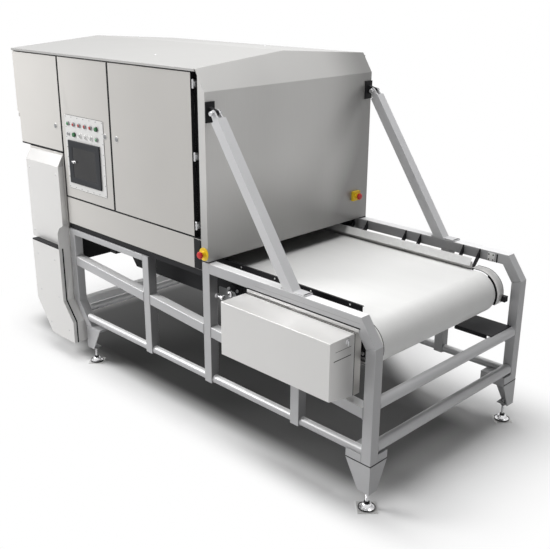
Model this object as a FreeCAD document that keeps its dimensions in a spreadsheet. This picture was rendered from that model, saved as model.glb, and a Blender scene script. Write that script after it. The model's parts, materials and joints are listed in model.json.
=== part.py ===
import FreeCAD, Part
import os
import re
import Sketcher

# Optical belt sorter. X runs along the belt towards the infeed end, Y towards the far side, Z up.
# The origin is on the floor, at the centre of the four levelling feet. All sizes are millimetres.

SIZES = (
    ("tube", 60, "outside of the square frame tube"),
    ("tube_wall", 3, "wall of the frame tube"),
    ("frame_half_length", 1230, "centre to the outside of the corner posts"),
    ("frame_half_width", 680, "centre to the outside of the frame"),
    ("rail_top", 1025, "top of the high rails"),
    ("knee_height", 890, "where the infeed corner post bends into the knee"),
    ("knee_run", 93, "how far the knee leans back"),
    ("post_foot", 270, "bottom of the corner posts"),
    ("inner_post_foot", 298, "bottom of the inner posts"),
    ("rear_post", -522, "centre of the inner post nearest the outfeed"),
    ("middle_post", 39, "centre of the post under the cabinet's infeed end"),
    ("front_post", 721, "centre of the inner post beside the drive"),
    ("outfeed_leg", -1324, "centre of the upright part of the outfeed leg"),
    ("leg_bend", 430, "height where the outfeed leg starts to slant"),
    ("low_rail_top", 932, "top of the low rails under the cabinet"),
    ("low_rail_height", 38, "height of the low rails"),
    ("mid_rail_height", 592, "underside of the middle rails at the centre"),
    ("mid_rail_slope", 4.08, "fall of the middle rails towards the infeed, degrees"),
    ("bottom_tube_diameter", 48, "round side tubes between the posts"),
    ("bottom_tube_height", 320, "axis of the round side tubes"),
    ("crossbar_diameter", 60, "round bars across the frame"),
    ("upper_crossbar", 580, "axis of the upper infeed crossbar"),
    ("lower_crossbar", 345, "axis of the lower infeed crossbar"),
    ("outfeed_crossbar", 365, "axis of the crossbar between the outfeed legs"),
    ("tie_beam", 50, "square beam between the outfeed legs"),
    ("tie_beam_height", 388, "underside of that beam"),
    ("shoe_length", 156, "foot shoe along X"),
    ("shoe_width", 132, "foot shoe along Y"),
    ("shoe_band", 44, "height of the band round the post's foot"),
    ("shoe_plate", 6, "plate of the foot shoe"),
    ("shoe_seam", 6, "groove between that band and the tapering faces"),
    ("shoe_seam_depth", 4, "depth of that groove"),
    ("shoe_toe_length", 72, "lower end of the foot shoe along X"),
    ("shoe_toe_width", 62, "lower end of the foot shoe along Y"),
    ("shoe_toe_height", 110, "lower end of the foot shoe above the floor"),
    ("foot_inset_long", 40, "foot axis from the outside of the corner, along X"),
    ("foot_inset_wide", 40, "foot axis from the outside of the corner, along Y"),
    ("foot_diameter", 88, "levelling foot disc"),
    ("foot_rim", 4, "edge of that disc"),
    ("foot_shoulder", 11, "top of the disc's slope, where its hub starts"),
    ("foot_hub", 56, "hub of the levelling foot"),
    ("foot_height", 28, "top of that hub"),
    ("stem_diameter", 16, "levelling foot stem"),
    ("locknut_width", 24, "locknut across the flats"),
    ("locknut_height", 10, "locknut"),
    ("base_plate_reach", 71, "square plate under each foot, centre to corner"),
    ("base_plate_thickness", 4, "that plate"),
    ("anchor_offset", 56, "anchor hole from the foot axis, along X"),
    ("anchor_hole", 10, "anchor hole diameter"),
    ("pin_clearance", 0.05, "radial clearance of pins and shafts"),
    ("running_gap", 0.3, "gap between moving neighbours"),
    ("cabinet_left", -1897, "outfeed end of the cabinet"),
    ("jog_depth", 27, "step in the cabinet's outfeed end"),
    ("jog_top", 1650, "top of that step"),
    ("jog_bottom", 1630, "bottom of that step"),
    ("cabinet_face", 62, "infeed face of the cabinet"),
    ("cabinet_seat", 6, "pads between the rail and the cabinet"),
    ("eaves", 2062, "roof edge"),
    ("roof_rise", 50, "roof ridge above the eaves"),
    ("chamfer_foot", 1949, "bottom of the slanting top of the infeed face"),
    ("chamfer_run", 73, "lean of that slant up to the eaves"),
    ("skin", 4, "cabinet sheet"),
    ("roof_lip", 14, "turned-down edge of the roof"),
    ("roof_overhang", 6, "roof edge beyond the doors"),
    ("door_thickness", 25, "doors"),
    ("door_drop", 22, "top of all doors below the eaves"),
    ("seam", 11, "gap between neighbouring doors"),
    ("left_seam", -1346, "seam between the left and the control door"),
    ("right_seam", -802, "seam between the control and the main door"),
    ("main_door_end", -48, "hinge edge of the main door"),
    ("column_width", 56, "corner column beside the main door"),
    ("left_door_bottom", 1441, "bottom of the left door"),
    ("main_door_bottom", 1155, "bottom of the control and main doors"),
    ("apron_bottom", 972, "bottom of the apron under the doors"),
    ("apron_top", 1147, "top of the apron"),
    ("apron_thickness", 10, "apron"),
    ("jamb", 60, "depth of the frame behind the doors"),
    ("jamb_width", 44, "width of the uprights behind the door seams"),
    ("hinge_pin", 8, "door hinge pins"),
    ("hinge_reach", 22, "how far a hinge pin enters the door"),
    ("hinge_inset", 8, "hinge axis from the door's edge and front"),
    ("hinge_lug", 18, "lug under the left door's step that holds its lower pin"),
    ("frame_gap", 4, "between the doors and the frame behind them"),
    ("door_gap", 3, "above and below the doors"),
    ("lock_diameter", 28, "quarter-turn lock"),
    ("lock_rise", 161, "quarter-turn locks above the bottom of the left door"),
    ("lock_offset", 60, "lock from the nearest seam"),
    ("channel_inset", 10, "base channel behind the frame's outside"),
    ("channel_depth", 50, "flange of the base channel"),
    ("channel_wall", 6, "base channel"),
    ("panel_left", -1297, "control plate"),
    ("panel_right", -876, "control plate"),
    ("panel_bottom", 1220, "control plate"),
    ("panel_top", 1690, "control plate"),
    ("panel_thickness", 3, "control plate"),
    ("bezel_left", -1267, "screen bezel"),
    ("bezel_right", -922, "screen bezel"),
    ("bezel_bottom", 1260, "screen bezel"),
    ("bezel_top", 1533, "screen bezel"),
    ("bezel_thickness", 9, "screen bezel"),
    ("screen_margin_side", 46, "bezel beside the screen"),
    ("screen_margin_top", 40, "bezel above and below the screen"),
    ("screen_depth", 2, "recess of the screen in its bezel"),
    ("lamp_row", 1637, "lamp row above the floor"),
    ("switch_row", 1573, "switch row above the floor"),
    ("row_start", -1258, "first lamp and switch"),
    ("row_pitch", 62.5, "spacing of the lamps and switches"),
    ("lamp_diameter", 22, "lamps and switch heads"),
    ("lamp_height", 8, "lamps above their plate"),
    ("button_height", 12, "push buttons above their plate"),
    ("switch_throw", 3, "push button travel"),
    ("switch_stem", 6, "switch stems behind the plate"),
    ("selector_height", 16, "selector handles above their plate"),
    ("estop_x", 30, "emergency stop on the corner column"),
    ("estop_height", 1072, "emergency stop on the corner column"),
    ("far_estop_y", 558, "emergency stop on the infeed face"),
    ("far_estop_height", 1189, "emergency stop on the infeed face"),
    ("far_box_width", 66, "box of the far emergency stop"),
    ("far_box_height", 60, "box of the far emergency stop"),
    ("far_box_depth", 18, "box of the far emergency stop"),
    ("far_collar_height", 6, "collar on that box"),
    ("legend_diameter", 75, "yellow emergency stop plate"),
    ("legend_thickness", 4, "yellow emergency stop plate"),
    ("collar_diameter", 34, "emergency stop collar"),
    ("collar_height", 14, "emergency stop collar"),
    ("mushroom_diameter", 42, "emergency stop head"),
    ("mushroom_height", 20, "emergency stop head"),
    ("estop_throw", 4, "emergency stop travel"),
    ("housing_left", -1769, "outfeed housing"),
    ("housing_right", -1358, "outfeed housing"),
    ("housing_bottom", 800, "outfeed housing"),
    ("housing_top", 1430, "outfeed housing"),
    ("outlet_sill", 880, "top of the housing's wall towards the frame"),
    ("upper_cover_right", -1365, "upper side cover"),
    ("upper_cover_depth", 41, "upper side cover"),
    ("upper_cover_shoulder", 1345, "where the upper side cover's slanting top starts"),
    ("upper_cover_top", 1418, "upper side cover"),
    ("lower_cover_front", 85, "lower side cover in front of the frame"),
    ("lower_cover_left", -1704, "lower side cover"),
    ("lower_cover_right", -1361, "lower side cover"),
    ("lower_cover_toe_left", -1534, "bottom edge of the lower side cover"),
    ("lower_cover_toe_right", -1254, "bottom edge of the lower side cover"),
    ("lower_cover_top", 796, "lower side cover"),
    ("lower_cover_bottom", 150, "lower side cover"),
    ("lower_cover_bend", 370, "where its outfeed edge starts to slant"),
    ("lower_cover_knee", 300, "where its inner edge stops slanting"),
    ("lower_lid_thickness", 25, "lid of the lower side cover"),
    ("lower_seam", 5, "seam behind that lid"),
    ("ear_height", 154, "ear plate on the lower side cover"),
    ("ear_thickness", 4, "ear plate on the lower side cover"),
    ("ear_radius", 40, "rounded corner of the ear plate"),
    ("belt_top", 928, "carrying strand above the floor"),
    ("belt_half_width", 510, "belt"),
    ("belt_thickness", 4, "belt"),
    ("head_x", 1021, "infeed drum axis"),
    ("head_radius", 120, "belt's outer radius round the infeed drum"),
    ("tail_x", -828, "discharge drum axis"),
    ("tail_radius", 60, "belt's outer radius round the discharge drum"),
    ("tension_x", 121, "tension drum axis"),
    ("tension_radius", 70, "tension drum"),
    ("drum_half_width", 504, "drums"),
    ("shaft_diameter", 40, "drum shafts"),
    ("side_plate_inner", 517, "inner face of the conveyor side plates"),
    ("side_plate", 6, "conveyor side plates"),
    ("side_plate_top", 902, "conveyor side plates"),
    ("side_plate_drop", 150, "depth of the conveyor side plates"),
    ("guard_top", 1003, "near product guard"),
    ("guard_end", 1017, "infeed end of the near product guard"),
    ("far_guard_top", 972, "far product guard"),
    ("far_guard_end", 971, "infeed end of the far product guard"),
    ("guard_thickness", 4, "product guards"),
    ("end_guard_radius", 127, "curved guards round the belt's end"),
    ("end_guard_width", 57, "curved guards round the belt's end"),
    ("end_guard_foot", 750, "lower end of the curved guards"),
    ("guard_stop", 32, "rubber stop on the curved guards"),
    ("bearing_size", 96, "flanged bearings"),
    ("bearing_depth", 26, "flanged bearings"),
    ("bed_thickness", 44, "slider bed under the carrying strand"),
    ("gusset_plate", 8, "brackets between the rail and the conveyor"),
    ("gusset_height", 52, "brackets between the rail and the conveyor"),
    ("gusset_pair", 118, "width of each bracket"),
    ("gusset_start", 74, "centre of the first bracket"),
    ("gusset_pitch", 413, "spacing of the brackets"),
    ("tray_length", 240, "corner tray at the infeed end"),
    ("tray_width", 215, "corner tray at the infeed end"),
    ("drive_left", 371, "drive cover"),
    ("drive_right", 1112, "drive cover"),
    ("drive_bottom", 645, "front edge of the drive cover's bottom"),
    ("drive_drop", 30, "fall of that bottom towards the frame"),
    ("drive_top", 940, "drive cover"),
    ("drive_depth", 179, "drive cover"),
    ("drive_wall", 4, "drive cover"),
    ("drive_plate", 6, "plate behind the drive cover"),
    ("drive_seam", 5, "seam between the drive cover and its plate"),
    ("drive_seam_depth", 2, "depth of that seam"),
    ("drive_tray", 40, "tray behind the plate"),
    ("drive_bend", 3, "bend radius of the drive cover's long edges"),
    ("drive_pulley_radius", 78, "pulley on the infeed drum's shaft"),
    ("motor_pulley_radius", 39, "pulley on the motor's shaft"),
    ("motor_x", 520, "motor axis"),
    ("pulley_width", 40, "both drive pulleys"),
    ("drive_belt_thickness", 5, "drive belt"),
    ("motor_diameter", 130, "drive motor"),
    ("motor_clearance", 19, "between the drive motor and the conveyor side"),
    ("brace_base", 665, "foot of the brace on the high rail"),
    ("brace_lean", 34.28, "lean of the brace from upright, degrees"),
    ("brace_length", 943, "square tube of the brace"),
    ("brace_pin_reach", 40, "brace pin beyond the tube's end"),
    ("brace_pin", 16, "brace pin"),
    ("brace_foot_length", 164, "plate under the brace"),
    ("brace_foot_thickness", 8, "plate under the brace"),
    ("brace_inset", 30, "centre plane of the brace from the frame's outside"),
    ("clevis_plate", 8, "cheeks of the brace's fork"),
    ("clevis_gap", 24, "space between the cheeks"),
    ("bracket_height", 108, "bracket on the infeed face"),
    ("bracket_width", 65, "bracket on the infeed face"),
    ("bracket_thickness", 8, "bracket on the infeed face"),
    ("scanner_left", -640, "scanner housing over the belt"),
    ("scanner_right", -180, "scanner housing over the belt"),
    ("scanner_bottom", 1260, "scanner housing over the belt"),
    ("scanner_top", 1640, "scanner housing over the belt"),
    ("scanner_half_width", 560, "scanner housing over the belt"),
    ("lamp_tube_diameter", 40, "lamps under the scanner"),
    ("ejector_gap", 24, "ejector bar beyond the discharge drum"),
    ("ejector_width", 60, "ejector bar"),
    ("ejector_height", 70, "ejector bar"),
    ("nozzle_pitch", 40, "air nozzles along the ejector bar"),
    ("nozzle_diameter", 8, "air nozzles"),
    ("chute_plate", 5, "chutes"),
)

doc = FreeCAD.newDocument("OpticalBeltSorter")
sheet = doc.addObject("Spreadsheet::Sheet", "Sizes")
for line, (alias, size, meaning) in enumerate(SIZES, start=1):
    sheet.set("A%d" % line, meaning)
    sheet.set("B%d" % line, str(size))
    sheet.setAlias("B%d" % line, alias)
ALIASES = {alias for alias, size, meaning in SIZES}
doc.recompute()

NODES = []


def bound(formula):
    """The formula with the sheet's name before each of its aliases."""
    return re.sub(r"[a-z][a-z_]+",
                  lambda word: "Sizes." + word.group(0) if word.group(0) in ALIASES else word.group(0),
                  str(formula))


def value(formula):
    """What a formula comes to now, as a number."""
    answer = sheet.evalExpression(bound(formula))
    return float(getattr(answer, "Value", answer))


def add(kind, name):
    """A new object whose label is its name."""
    return doc.addObject(kind, name)


def put(thing, x="0", y="0", z="0"):
    """Bind an object's place to formulas."""
    for axis, formula in (("x", x), ("y", y), ("z", z)):
        thing.setExpression("Placement.Base." + axis, bound(formula))
    return thing


def block(name, x, y, z):
    """A box between pairs of formulas."""
    box = add("Part::Box", name)
    box.setExpression("Length", bound("(%s) - (%s)" % (x[1], x[0])))
    box.setExpression("Width", bound("(%s) - (%s)" % (y[1], y[0])))
    box.setExpression("Height", bound("(%s) - (%s)" % (z[1], z[0])))
    return put(box, x[0], y[0], z[0])


TURNS = {
    "X": FreeCAD.Rotation(FreeCAD.Vector(0, 1, 0), 90),
    "Y": FreeCAD.Rotation(FreeCAD.Vector(1, 0, 0), -90),
    "Z": FreeCAD.Rotation(),
}


def aim(thing, axis, centre, start):
    """Lay an object built along Z along the named axis, with its base at start."""
    thing.Placement = FreeCAD.Placement(FreeCAD.Vector(), TURNS[axis])
    first, second = centre
    spot = {"X": (start, first, second), "Y": (first, start, second), "Z": (first, second, start)}[axis]
    return put(thing, *spot)


def rod(name, axis, centre, radius, span):
    """A round bar along an axis, between two formulas."""
    bar = add("Part::Cylinder", name)
    bar.setExpression("Radius", bound(radius))
    bar.setExpression("Height", bound("(%s) - (%s)" % (span[1], span[0])))
    return aim(bar, axis, centre, span[0])


def origin_plane(body, plane):
    """One of a body's own origin planes."""
    return [item for item in body.Origin.OriginFeatures if item.Role == plane + "_Plane"][0]


def outline_sketch(body, plane, points):
    """A closed outline whose corners are bound to pairs of formulas."""
    sketch = body.newObject("Sketcher::SketchObject", body.Name + "_outline")
    sketch.AttachmentSupport = [(origin_plane(body, plane), "")]
    sketch.MapMode = "FlatFace"
    corners = [FreeCAD.Vector(value(across), value(up), 0) for across, up in points]
    count = len(corners)
    for index in range(count):
        sketch.addGeometry(Part.LineSegment(corners[index], corners[(index + 1) % count]))
    for index in range(count):
        sketch.addConstraint(Sketcher.Constraint("Coincident", index, 2, (index + 1) % count, 1))
    for index, (across, up) in enumerate(points):
        for kind, formula, size in (("DistanceX", across, corners[index].x), ("DistanceY", up, corners[index].y)):
            number = sketch.addConstraint(Sketcher.Constraint(kind, -1, 1, index, 1, size))
            sketch.setExpression("Constraints[%d]" % number, bound(formula))
    return sketch


def prism(name, plane, points, span):
    """A padded outline between two formulas along the plane's normal."""
    body = add("PartDesign::Body", name)
    sketch = outline_sketch(body, plane, points)
    pad = body.newObject("PartDesign::Pad", name + "_pad")
    pad.Profile = sketch
    pad.setExpression("Length", bound("(%s) - (%s)" % (span[1], span[0])))
    place = {"XZ": ("0", span[1], "0"), "YZ": (span[0], "0", "0"), "XY": ("0", "0", span[0])}[plane]
    return put(body, *place)


def turned(name, axis, centre, start, profile):
    """A turned piece: radius and length pairs revolved about the named axis."""
    body = add("PartDesign::Body", name)
    sketch = outline_sketch(body, "XZ", profile)
    spin = body.newObject("PartDesign::Revolution", name + "_turn")
    spin.Profile = sketch
    spin.ReferenceAxis = (sketch, ["V_Axis"])
    spin.Angle = 360
    return aim(body, axis, centre, start)


def round_edges(body, axis, radius):
    """Round a padded body's edges that run along the named axis."""
    doc.recompute()
    base = body.Tip
    names = []
    for number, edge in enumerate(base.Shape.Edges, start=1):
        run = edge.Vertexes[-1].Point - edge.Vertexes[0].Point
        if run.Length > 0 and abs(run.dot(axis)) > 0.999 * run.Length:
            names.append("Edge%d" % number)
    soft = body.newObject("PartDesign::Fillet", body.Name + "_bend")
    soft.Base = (base, names)
    soft.setExpression("Radius", bound(radius))
    body.Tip = soft
    return body


def cut(name, base, *tools):
    """The base with each tool taken away."""
    left = base
    for number, tool in enumerate(tools):
        last = number == len(tools) - 1
        result = add("Part::Cut", name if last else "%s_step_%d" % (name, number))
        result.Base = left
        result.Tool = tool
        left = result
    return left


def fuse(name, *pieces):
    """Pieces made into one solid."""
    whole = add("Part::MultiFuse", name)
    whole.Shapes = list(pieces)
    whole.Refine = True
    return whole


def common(name, first, second):
    """What two pieces share."""
    shared = add("Part::Common", name)
    shared.Base = first
    shared.Tool = second
    return shared


def hollow(name, solid, wall):
    """A closed tube or folded panel: the solid less its own inward offset."""
    core = add("Part::Offset", name + "_core")
    core.Source = solid
    core.Join = 2
    core.setExpression("Value", bound("-(%s)" % wall))
    return cut(name, solid, core)


def mirrored(name, source, normal=(0, 1, 0)):
    """The source reflected through the origin."""
    twin = add("Part::Mirroring", name)
    twin.Source = source
    twin.Normal = FreeCAD.Vector(*normal)
    return twin


def group(name, *pieces):
    """Separate solids that make one named piece."""
    kit = add("Part::Compound", name)
    kit.Links = list(pieces)
    return kit


def node(thing):
    """List an object as one of the part's named pieces."""
    NODES.append(thing)
    return thing


def both_sides(name, *pieces):
    """A named piece with near-side solids and their far-side twins."""
    twins = [mirrored(piece.Name + "_far", piece) for piece in pieces]
    return group(name, *pieces, *twins)


NEAR_FACE = "-frame_half_width"
NEAR_INNER = "-frame_half_width + tube"
CORNER_INNER = "frame_half_length - tube"
LEG_LEFT = "outfeed_leg - tube / 2"
LEG_RIGHT = "outfeed_leg + tube / 2"

# Frame: upright tubes.


def upright(name, centre, bottom, top):
    """A closed square tube standing at the near side."""
    solid = block(name + "_solid", (centre + " - tube / 2", centre + " + tube / 2"),
                  (NEAR_FACE, NEAR_INNER), (bottom, top))
    return hollow(name, solid, "tube_wall")


posts = [
    upright("rear_upright", "rear_post", "inner_post_foot", "low_rail_top"),
    upright("middle_upright", "middle_post", "inner_post_foot", "rail_top"),
    upright("front_upright", "front_post", "inner_post_foot", "rail_top - tube"),
]
KNEE_ANGLE = "atan(knee_run / (rail_top - knee_height))"
KNEE_STEP = "tube * tan(%s / 2)" % KNEE_ANGLE
TOP_STEP = "tube * tan(45 deg - %s / 2)" % KNEE_ANGLE
corner_outline = [
    (CORNER_INNER, "post_foot"),
    ("frame_half_length", "post_foot"),
    ("frame_half_length", "knee_height"),
    (CORNER_INNER, "knee_height - " + KNEE_STEP),
]
corner_post = hollow("corner_upright", prism("corner_upright_solid", "XZ", corner_outline,
                                             (NEAR_FACE, NEAR_INNER)), "tube_wall")
near_posts = node(group("near_posts", *posts, corner_post))
node(mirrored("far_posts", near_posts))

# Frame: outfeed legs, upright above and slanting under the cabinet below.
leg_upright = hollow("leg_upright", prism("leg_upright_solid", "XZ", [
    (LEG_LEFT, "leg_bend"),
    (LEG_RIGHT, "leg_bend"),
    (LEG_RIGHT, "low_rail_top"),
    (LEG_LEFT, "low_rail_top"),
], (NEAR_FACE, NEAR_INNER)), "tube_wall")
leg_slant = prism("leg_slant", "XZ", [
    ("-frame_half_length", "post_foot"),
    ("-frame_half_length + tube", "post_foot"),
    (LEG_RIGHT, "leg_bend"),
    (LEG_LEFT, "leg_bend"),
], (NEAR_FACE, NEAR_INNER))
node(both_sides("outfeed_legs", leg_upright, leg_slant))

# Frame: high rails with their knees, and the low rails under the cabinet.
KNEE_BACK = "frame_half_length - knee_run"
knee = prism("knee", "XZ", [
    ("frame_half_length", "knee_height"),
    (KNEE_BACK, "rail_top"),
    (KNEE_BACK + " - " + TOP_STEP, "rail_top - tube"),
    (CORNER_INNER, "knee_height - " + KNEE_STEP),
], (NEAR_FACE, NEAR_INNER))
high_rail = hollow("high_rail", prism("high_rail_solid", "XZ", [
    ("middle_post + tube / 2", "rail_top - tube"),
    (KNEE_BACK + " - " + TOP_STEP, "rail_top - tube"),
    (KNEE_BACK, "rail_top"),
    ("middle_post + tube / 2", "rail_top"),
], (NEAR_FACE, NEAR_INNER)), "tube_wall")
low_rail = hollow("low_rail", block("low_rail_solid", (LEG_RIGHT, "rear_post - tube / 2"),
                                    (NEAR_FACE, NEAR_INNER),
                                    ("low_rail_top - low_rail_height", "low_rail_top")), "tube_wall")
node(both_sides("top_rails", knee, high_rail, low_rail))

# Frame: the middle rails fall towards the infeed, each span cut upright where it meets its posts.
RAIL_DEPTH = "tube / cos(mid_rail_slope)"


def sloping_rail(name, start, end):
    """One span of the middle rail."""
    def under(place):
        return "mid_rail_height - tan(mid_rail_slope) * (%s)" % place
    outline = [
        (start, under(start)),
        (end, under(end)),
        (end, under(end) + " + " + RAIL_DEPTH),
        (start, under(start) + " + " + RAIL_DEPTH),
    ]
    return hollow(name, prism(name + "_solid", "XZ", outline, (NEAR_FACE, NEAR_INNER)), "tube_wall")


node(both_sides(
    "mid_rails",
    sloping_rail("outfeed_mid_rail", LEG_RIGHT, "rear_post - tube / 2"),
    sloping_rail("cabinet_mid_rail", "rear_post + tube / 2", "middle_post - tube / 2"),
    sloping_rail("belt_mid_rail", "middle_post + tube / 2", "front_post - tube / 2"),
    sloping_rail("infeed_mid_rail", "front_post + tube / 2", CORNER_INNER),
))

# Frame: round tubes low along the sides and across the ends.
TUBE_AXIS = ("-frame_half_width + tube / 2", "bottom_tube_height")


def side_tube(name, start, end):
    """A thick-walled round tube along the near side, closed at its ends."""
    return rod(name, "X", TUBE_AXIS, "bottom_tube_diameter / 2", (start, end))


outfeed_side_tube = cut("outfeed_side_tube",
                        side_tube("outfeed_side_tube_long", "-frame_half_length", "rear_post - tube / 2"),
                        leg_slant)
node(both_sides(
    "bottom_tubes",
    outfeed_side_tube,
    side_tube("cabinet_side_tube", "rear_post + tube / 2", "middle_post - tube / 2"),
    side_tube("belt_side_tube", "middle_post + tube / 2", "front_post - tube / 2"),
    side_tube("infeed_side_tube", "front_post + tube / 2", CORNER_INNER),
))
ACROSS = (NEAR_INNER, "frame_half_width - tube")
CORNER_AXIS = "frame_half_length - tube / 2"
SLANT_LEAN = "(outfeed_leg + frame_half_length - tube / 2) / (leg_bend - post_foot)"


def slant_axis(height):
    """The X of the outfeed leg's slanting axis at a height."""
    return "-frame_half_length + tube / 2 + (%s) * (%s - post_foot)" % (SLANT_LEAN, height)


TIE_X = slant_axis("(tie_beam_height + tie_beam / 2)")
node(group(
    "crossbars",
    rod("upper_infeed_bar", "Y", (CORNER_AXIS, "upper_crossbar"), "crossbar_diameter / 2", ACROSS),
    rod("lower_infeed_bar", "Y", (CORNER_AXIS, "lower_crossbar"), "crossbar_diameter / 2", ACROSS),
    rod("outfeed_bar", "Y", (slant_axis("outfeed_crossbar"), "outfeed_crossbar"), "tube * 0.38", ACROSS),
    block("outfeed_tie", (TIE_X + " - tie_beam / 2", TIE_X + " + tie_beam / 2"), ACROSS,
          ("tie_beam_height", "tie_beam_height + tie_beam")),
))

# Dark base channels that carry the cabinet over the low rails, and its pads on the posts.
CHANNEL_FACE = "-frame_half_width + channel_inset"
CHANNEL_BACK = CHANNEL_FACE + " + channel_depth"
base_channel = prism("base_channel", "YZ", [
    (CHANNEL_FACE, "low_rail_top"),
    (CHANNEL_BACK, "low_rail_top"),
    (CHANNEL_BACK, "low_rail_top + channel_wall"),
    (CHANNEL_FACE + " + channel_wall", "low_rail_top + channel_wall"),
    (CHANNEL_FACE + " + channel_wall", "rail_top - channel_wall"),
    (CHANNEL_BACK, "rail_top - channel_wall"),
    (CHANNEL_BACK, "rail_top"),
    (CHANNEL_FACE, "rail_top"),
], (LEG_LEFT, "middle_post - tube / 2"))
corner_pad = block("corner_pad", ("cabinet_face - column_width", "cabinet_face"),
                   (NEAR_FACE, NEAR_INNER), ("rail_top", "rail_top + cabinet_seat"))
node(both_sides("base_channels", base_channel, corner_pad))

# Foot shoes: a band round the post, a groove, two folded tapering faces and a toe plate for the stem.
SHOE_LEFT = "frame_half_length - shoe_length"
SHOE_BACK = NEAR_FACE + " + shoe_width"
TOE_LEFT = "frame_half_length - shoe_toe_length"
TOE_BACK = NEAR_FACE + " + shoe_toe_width"
FOOT_X = "frame_half_length - foot_inset_long"
FOOT_Y = "-frame_half_width + foot_inset_wide"
FACE_TOP = "post_foot - shoe_seam"
shoe_face = prism("shoe_face", "XZ", [
    (TOE_LEFT, "shoe_toe_height"),
    ("frame_half_length", "shoe_toe_height"),
    ("frame_half_length", FACE_TOP),
    (SHOE_LEFT, FACE_TOP),
], (NEAR_FACE, NEAR_FACE + " + shoe_plate"))
shoe_end = prism("shoe_end", "YZ", [
    (NEAR_FACE, "shoe_toe_height"),
    (TOE_BACK, "shoe_toe_height"),
    (SHOE_BACK, FACE_TOP),
    (NEAR_FACE, FACE_TOP),
], ("frame_half_length - shoe_plate", "frame_half_length"))
shoe_toe = block("shoe_toe", (TOE_LEFT, "frame_half_length"), (NEAR_FACE, TOE_BACK),
                 ("shoe_toe_height", "shoe_toe_height + shoe_plate"))
shoe_roof = block("shoe_roof", (SHOE_LEFT, "frame_half_length - shoe_seam_depth"),
                  (NEAR_FACE + " + shoe_seam_depth", SHOE_BACK), (FACE_TOP + " - shoe_plate", "post_foot"))
shoe_ring = block("shoe_ring", (SHOE_LEFT, "frame_half_length"), (NEAR_FACE, SHOE_BACK),
                  ("post_foot", "post_foot + shoe_band"))
shoe_post_room = block("shoe_post_room", (CORNER_INNER, "frame_half_length + tube"),
                       ("-frame_half_width - tube", NEAR_INNER), ("post_foot", "post_foot + 2 * shoe_band"))
shoe_tube_room = rod("shoe_tube_room", "X", TUBE_AXIS, "bottom_tube_diameter / 2 + running_gap",
                     (SHOE_LEFT + " - tube", CORNER_INNER))
shoe_bar_room = rod("shoe_bar_room", "Y", (CORNER_AXIS, "lower_crossbar"),
                    "crossbar_diameter / 2 + running_gap", ACROSS)
shoe_band = cut("shoe_collar", shoe_ring, shoe_post_room, shoe_tube_room, shoe_bar_room)
shoe_stem_hole = rod("shoe_stem_hole", "Z", (FOOT_X, FOOT_Y), "stem_diameter / 2 + pin_clearance",
                     ("shoe_toe_height - shoe_plate", "shoe_toe_height + 2 * shoe_plate"))
infeed_shoe = cut("infeed_shoe", fuse("infeed_shoe_shell", shoe_face, shoe_end, shoe_toe, shoe_roof, shoe_band),
                  shoe_stem_hole)
outfeed_shoe = cut("outfeed_shoe_blank", fuse("outfeed_shoe_shell", shoe_face, shoe_end, shoe_toe, shoe_roof),
                   shoe_stem_hole)
outfeed_shoe_near = mirrored("outfeed_shoe", outfeed_shoe, (1, 0, 0))
node(both_sides("foot_shoes", infeed_shoe, outfeed_shoe_near))

# Levelling feet: a disc with a hub, a stem that turns in the toe plate, and its locknut.
STEM_TOP = "shoe_toe_height + shoe_plate + locknut_height"


def levelling_foot(name, along, across):
    """One foot, turned, with a hexagonal locknut under the toe plate."""
    stem = "stem_diameter / 2"
    turned_foot = turned(name + "_turned", "Z", (along, across), "base_plate_thickness", [
        ("0", "0"),
        ("foot_diameter / 2", "0"),
        ("foot_diameter / 2", "foot_rim"),
        ("foot_hub / 2", "foot_shoulder"),
        ("foot_hub / 2 * 0.9", "foot_height * 0.8"),
        ("foot_hub / 2 * 0.7", "foot_height"),
        (stem, "foot_height"),
        (stem, STEM_TOP + " - base_plate_thickness"),
        ("0", STEM_TOP + " - base_plate_thickness"),
    ])
    nut = add("Part::Prism", name + "_locknut")
    nut.Polygon = 6
    nut.setExpression("Circumradius", bound("locknut_width / 2 / cos(30)"))
    nut.setExpression("Height", bound("locknut_height"))
    put(nut, along, across, "shoe_toe_height - running_gap - locknut_height")
    return node(fuse(name, turned_foot, nut))


for end_name, along in (("infeed", FOOT_X), ("outfeed", "-(%s)" % FOOT_X)):
    for side_name, across in (("near", FOOT_Y), ("far", "-(%s)" % FOOT_Y)):
        levelling_foot("%s_%s_foot" % (side_name, end_name), along, across)


# Base plates: square, turned so that a corner with the anchor hole points along the machine.
plate_blank = prism("base_plate_blank", "XY", [
    (FOOT_X + " - base_plate_reach", FOOT_Y),
    (FOOT_X, FOOT_Y + " - base_plate_reach"),
    (FOOT_X + " + base_plate_reach", FOOT_Y),
    (FOOT_X, FOOT_Y + " + base_plate_reach"),
], ("0", "base_plate_thickness"))
anchor_hole = rod("anchor_drill", "Z", (FOOT_X + " + anchor_offset", FOOT_Y),
                  "anchor_hole / 2", ("-base_plate_thickness", "2 * base_plate_thickness"))
infeed_plate = cut("infeed_base_plate", plate_blank, anchor_hole)
node(both_sides("base_plates", infeed_plate, mirrored("outfeed_base_plate", infeed_plate, (1, 0, 0))))

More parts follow.
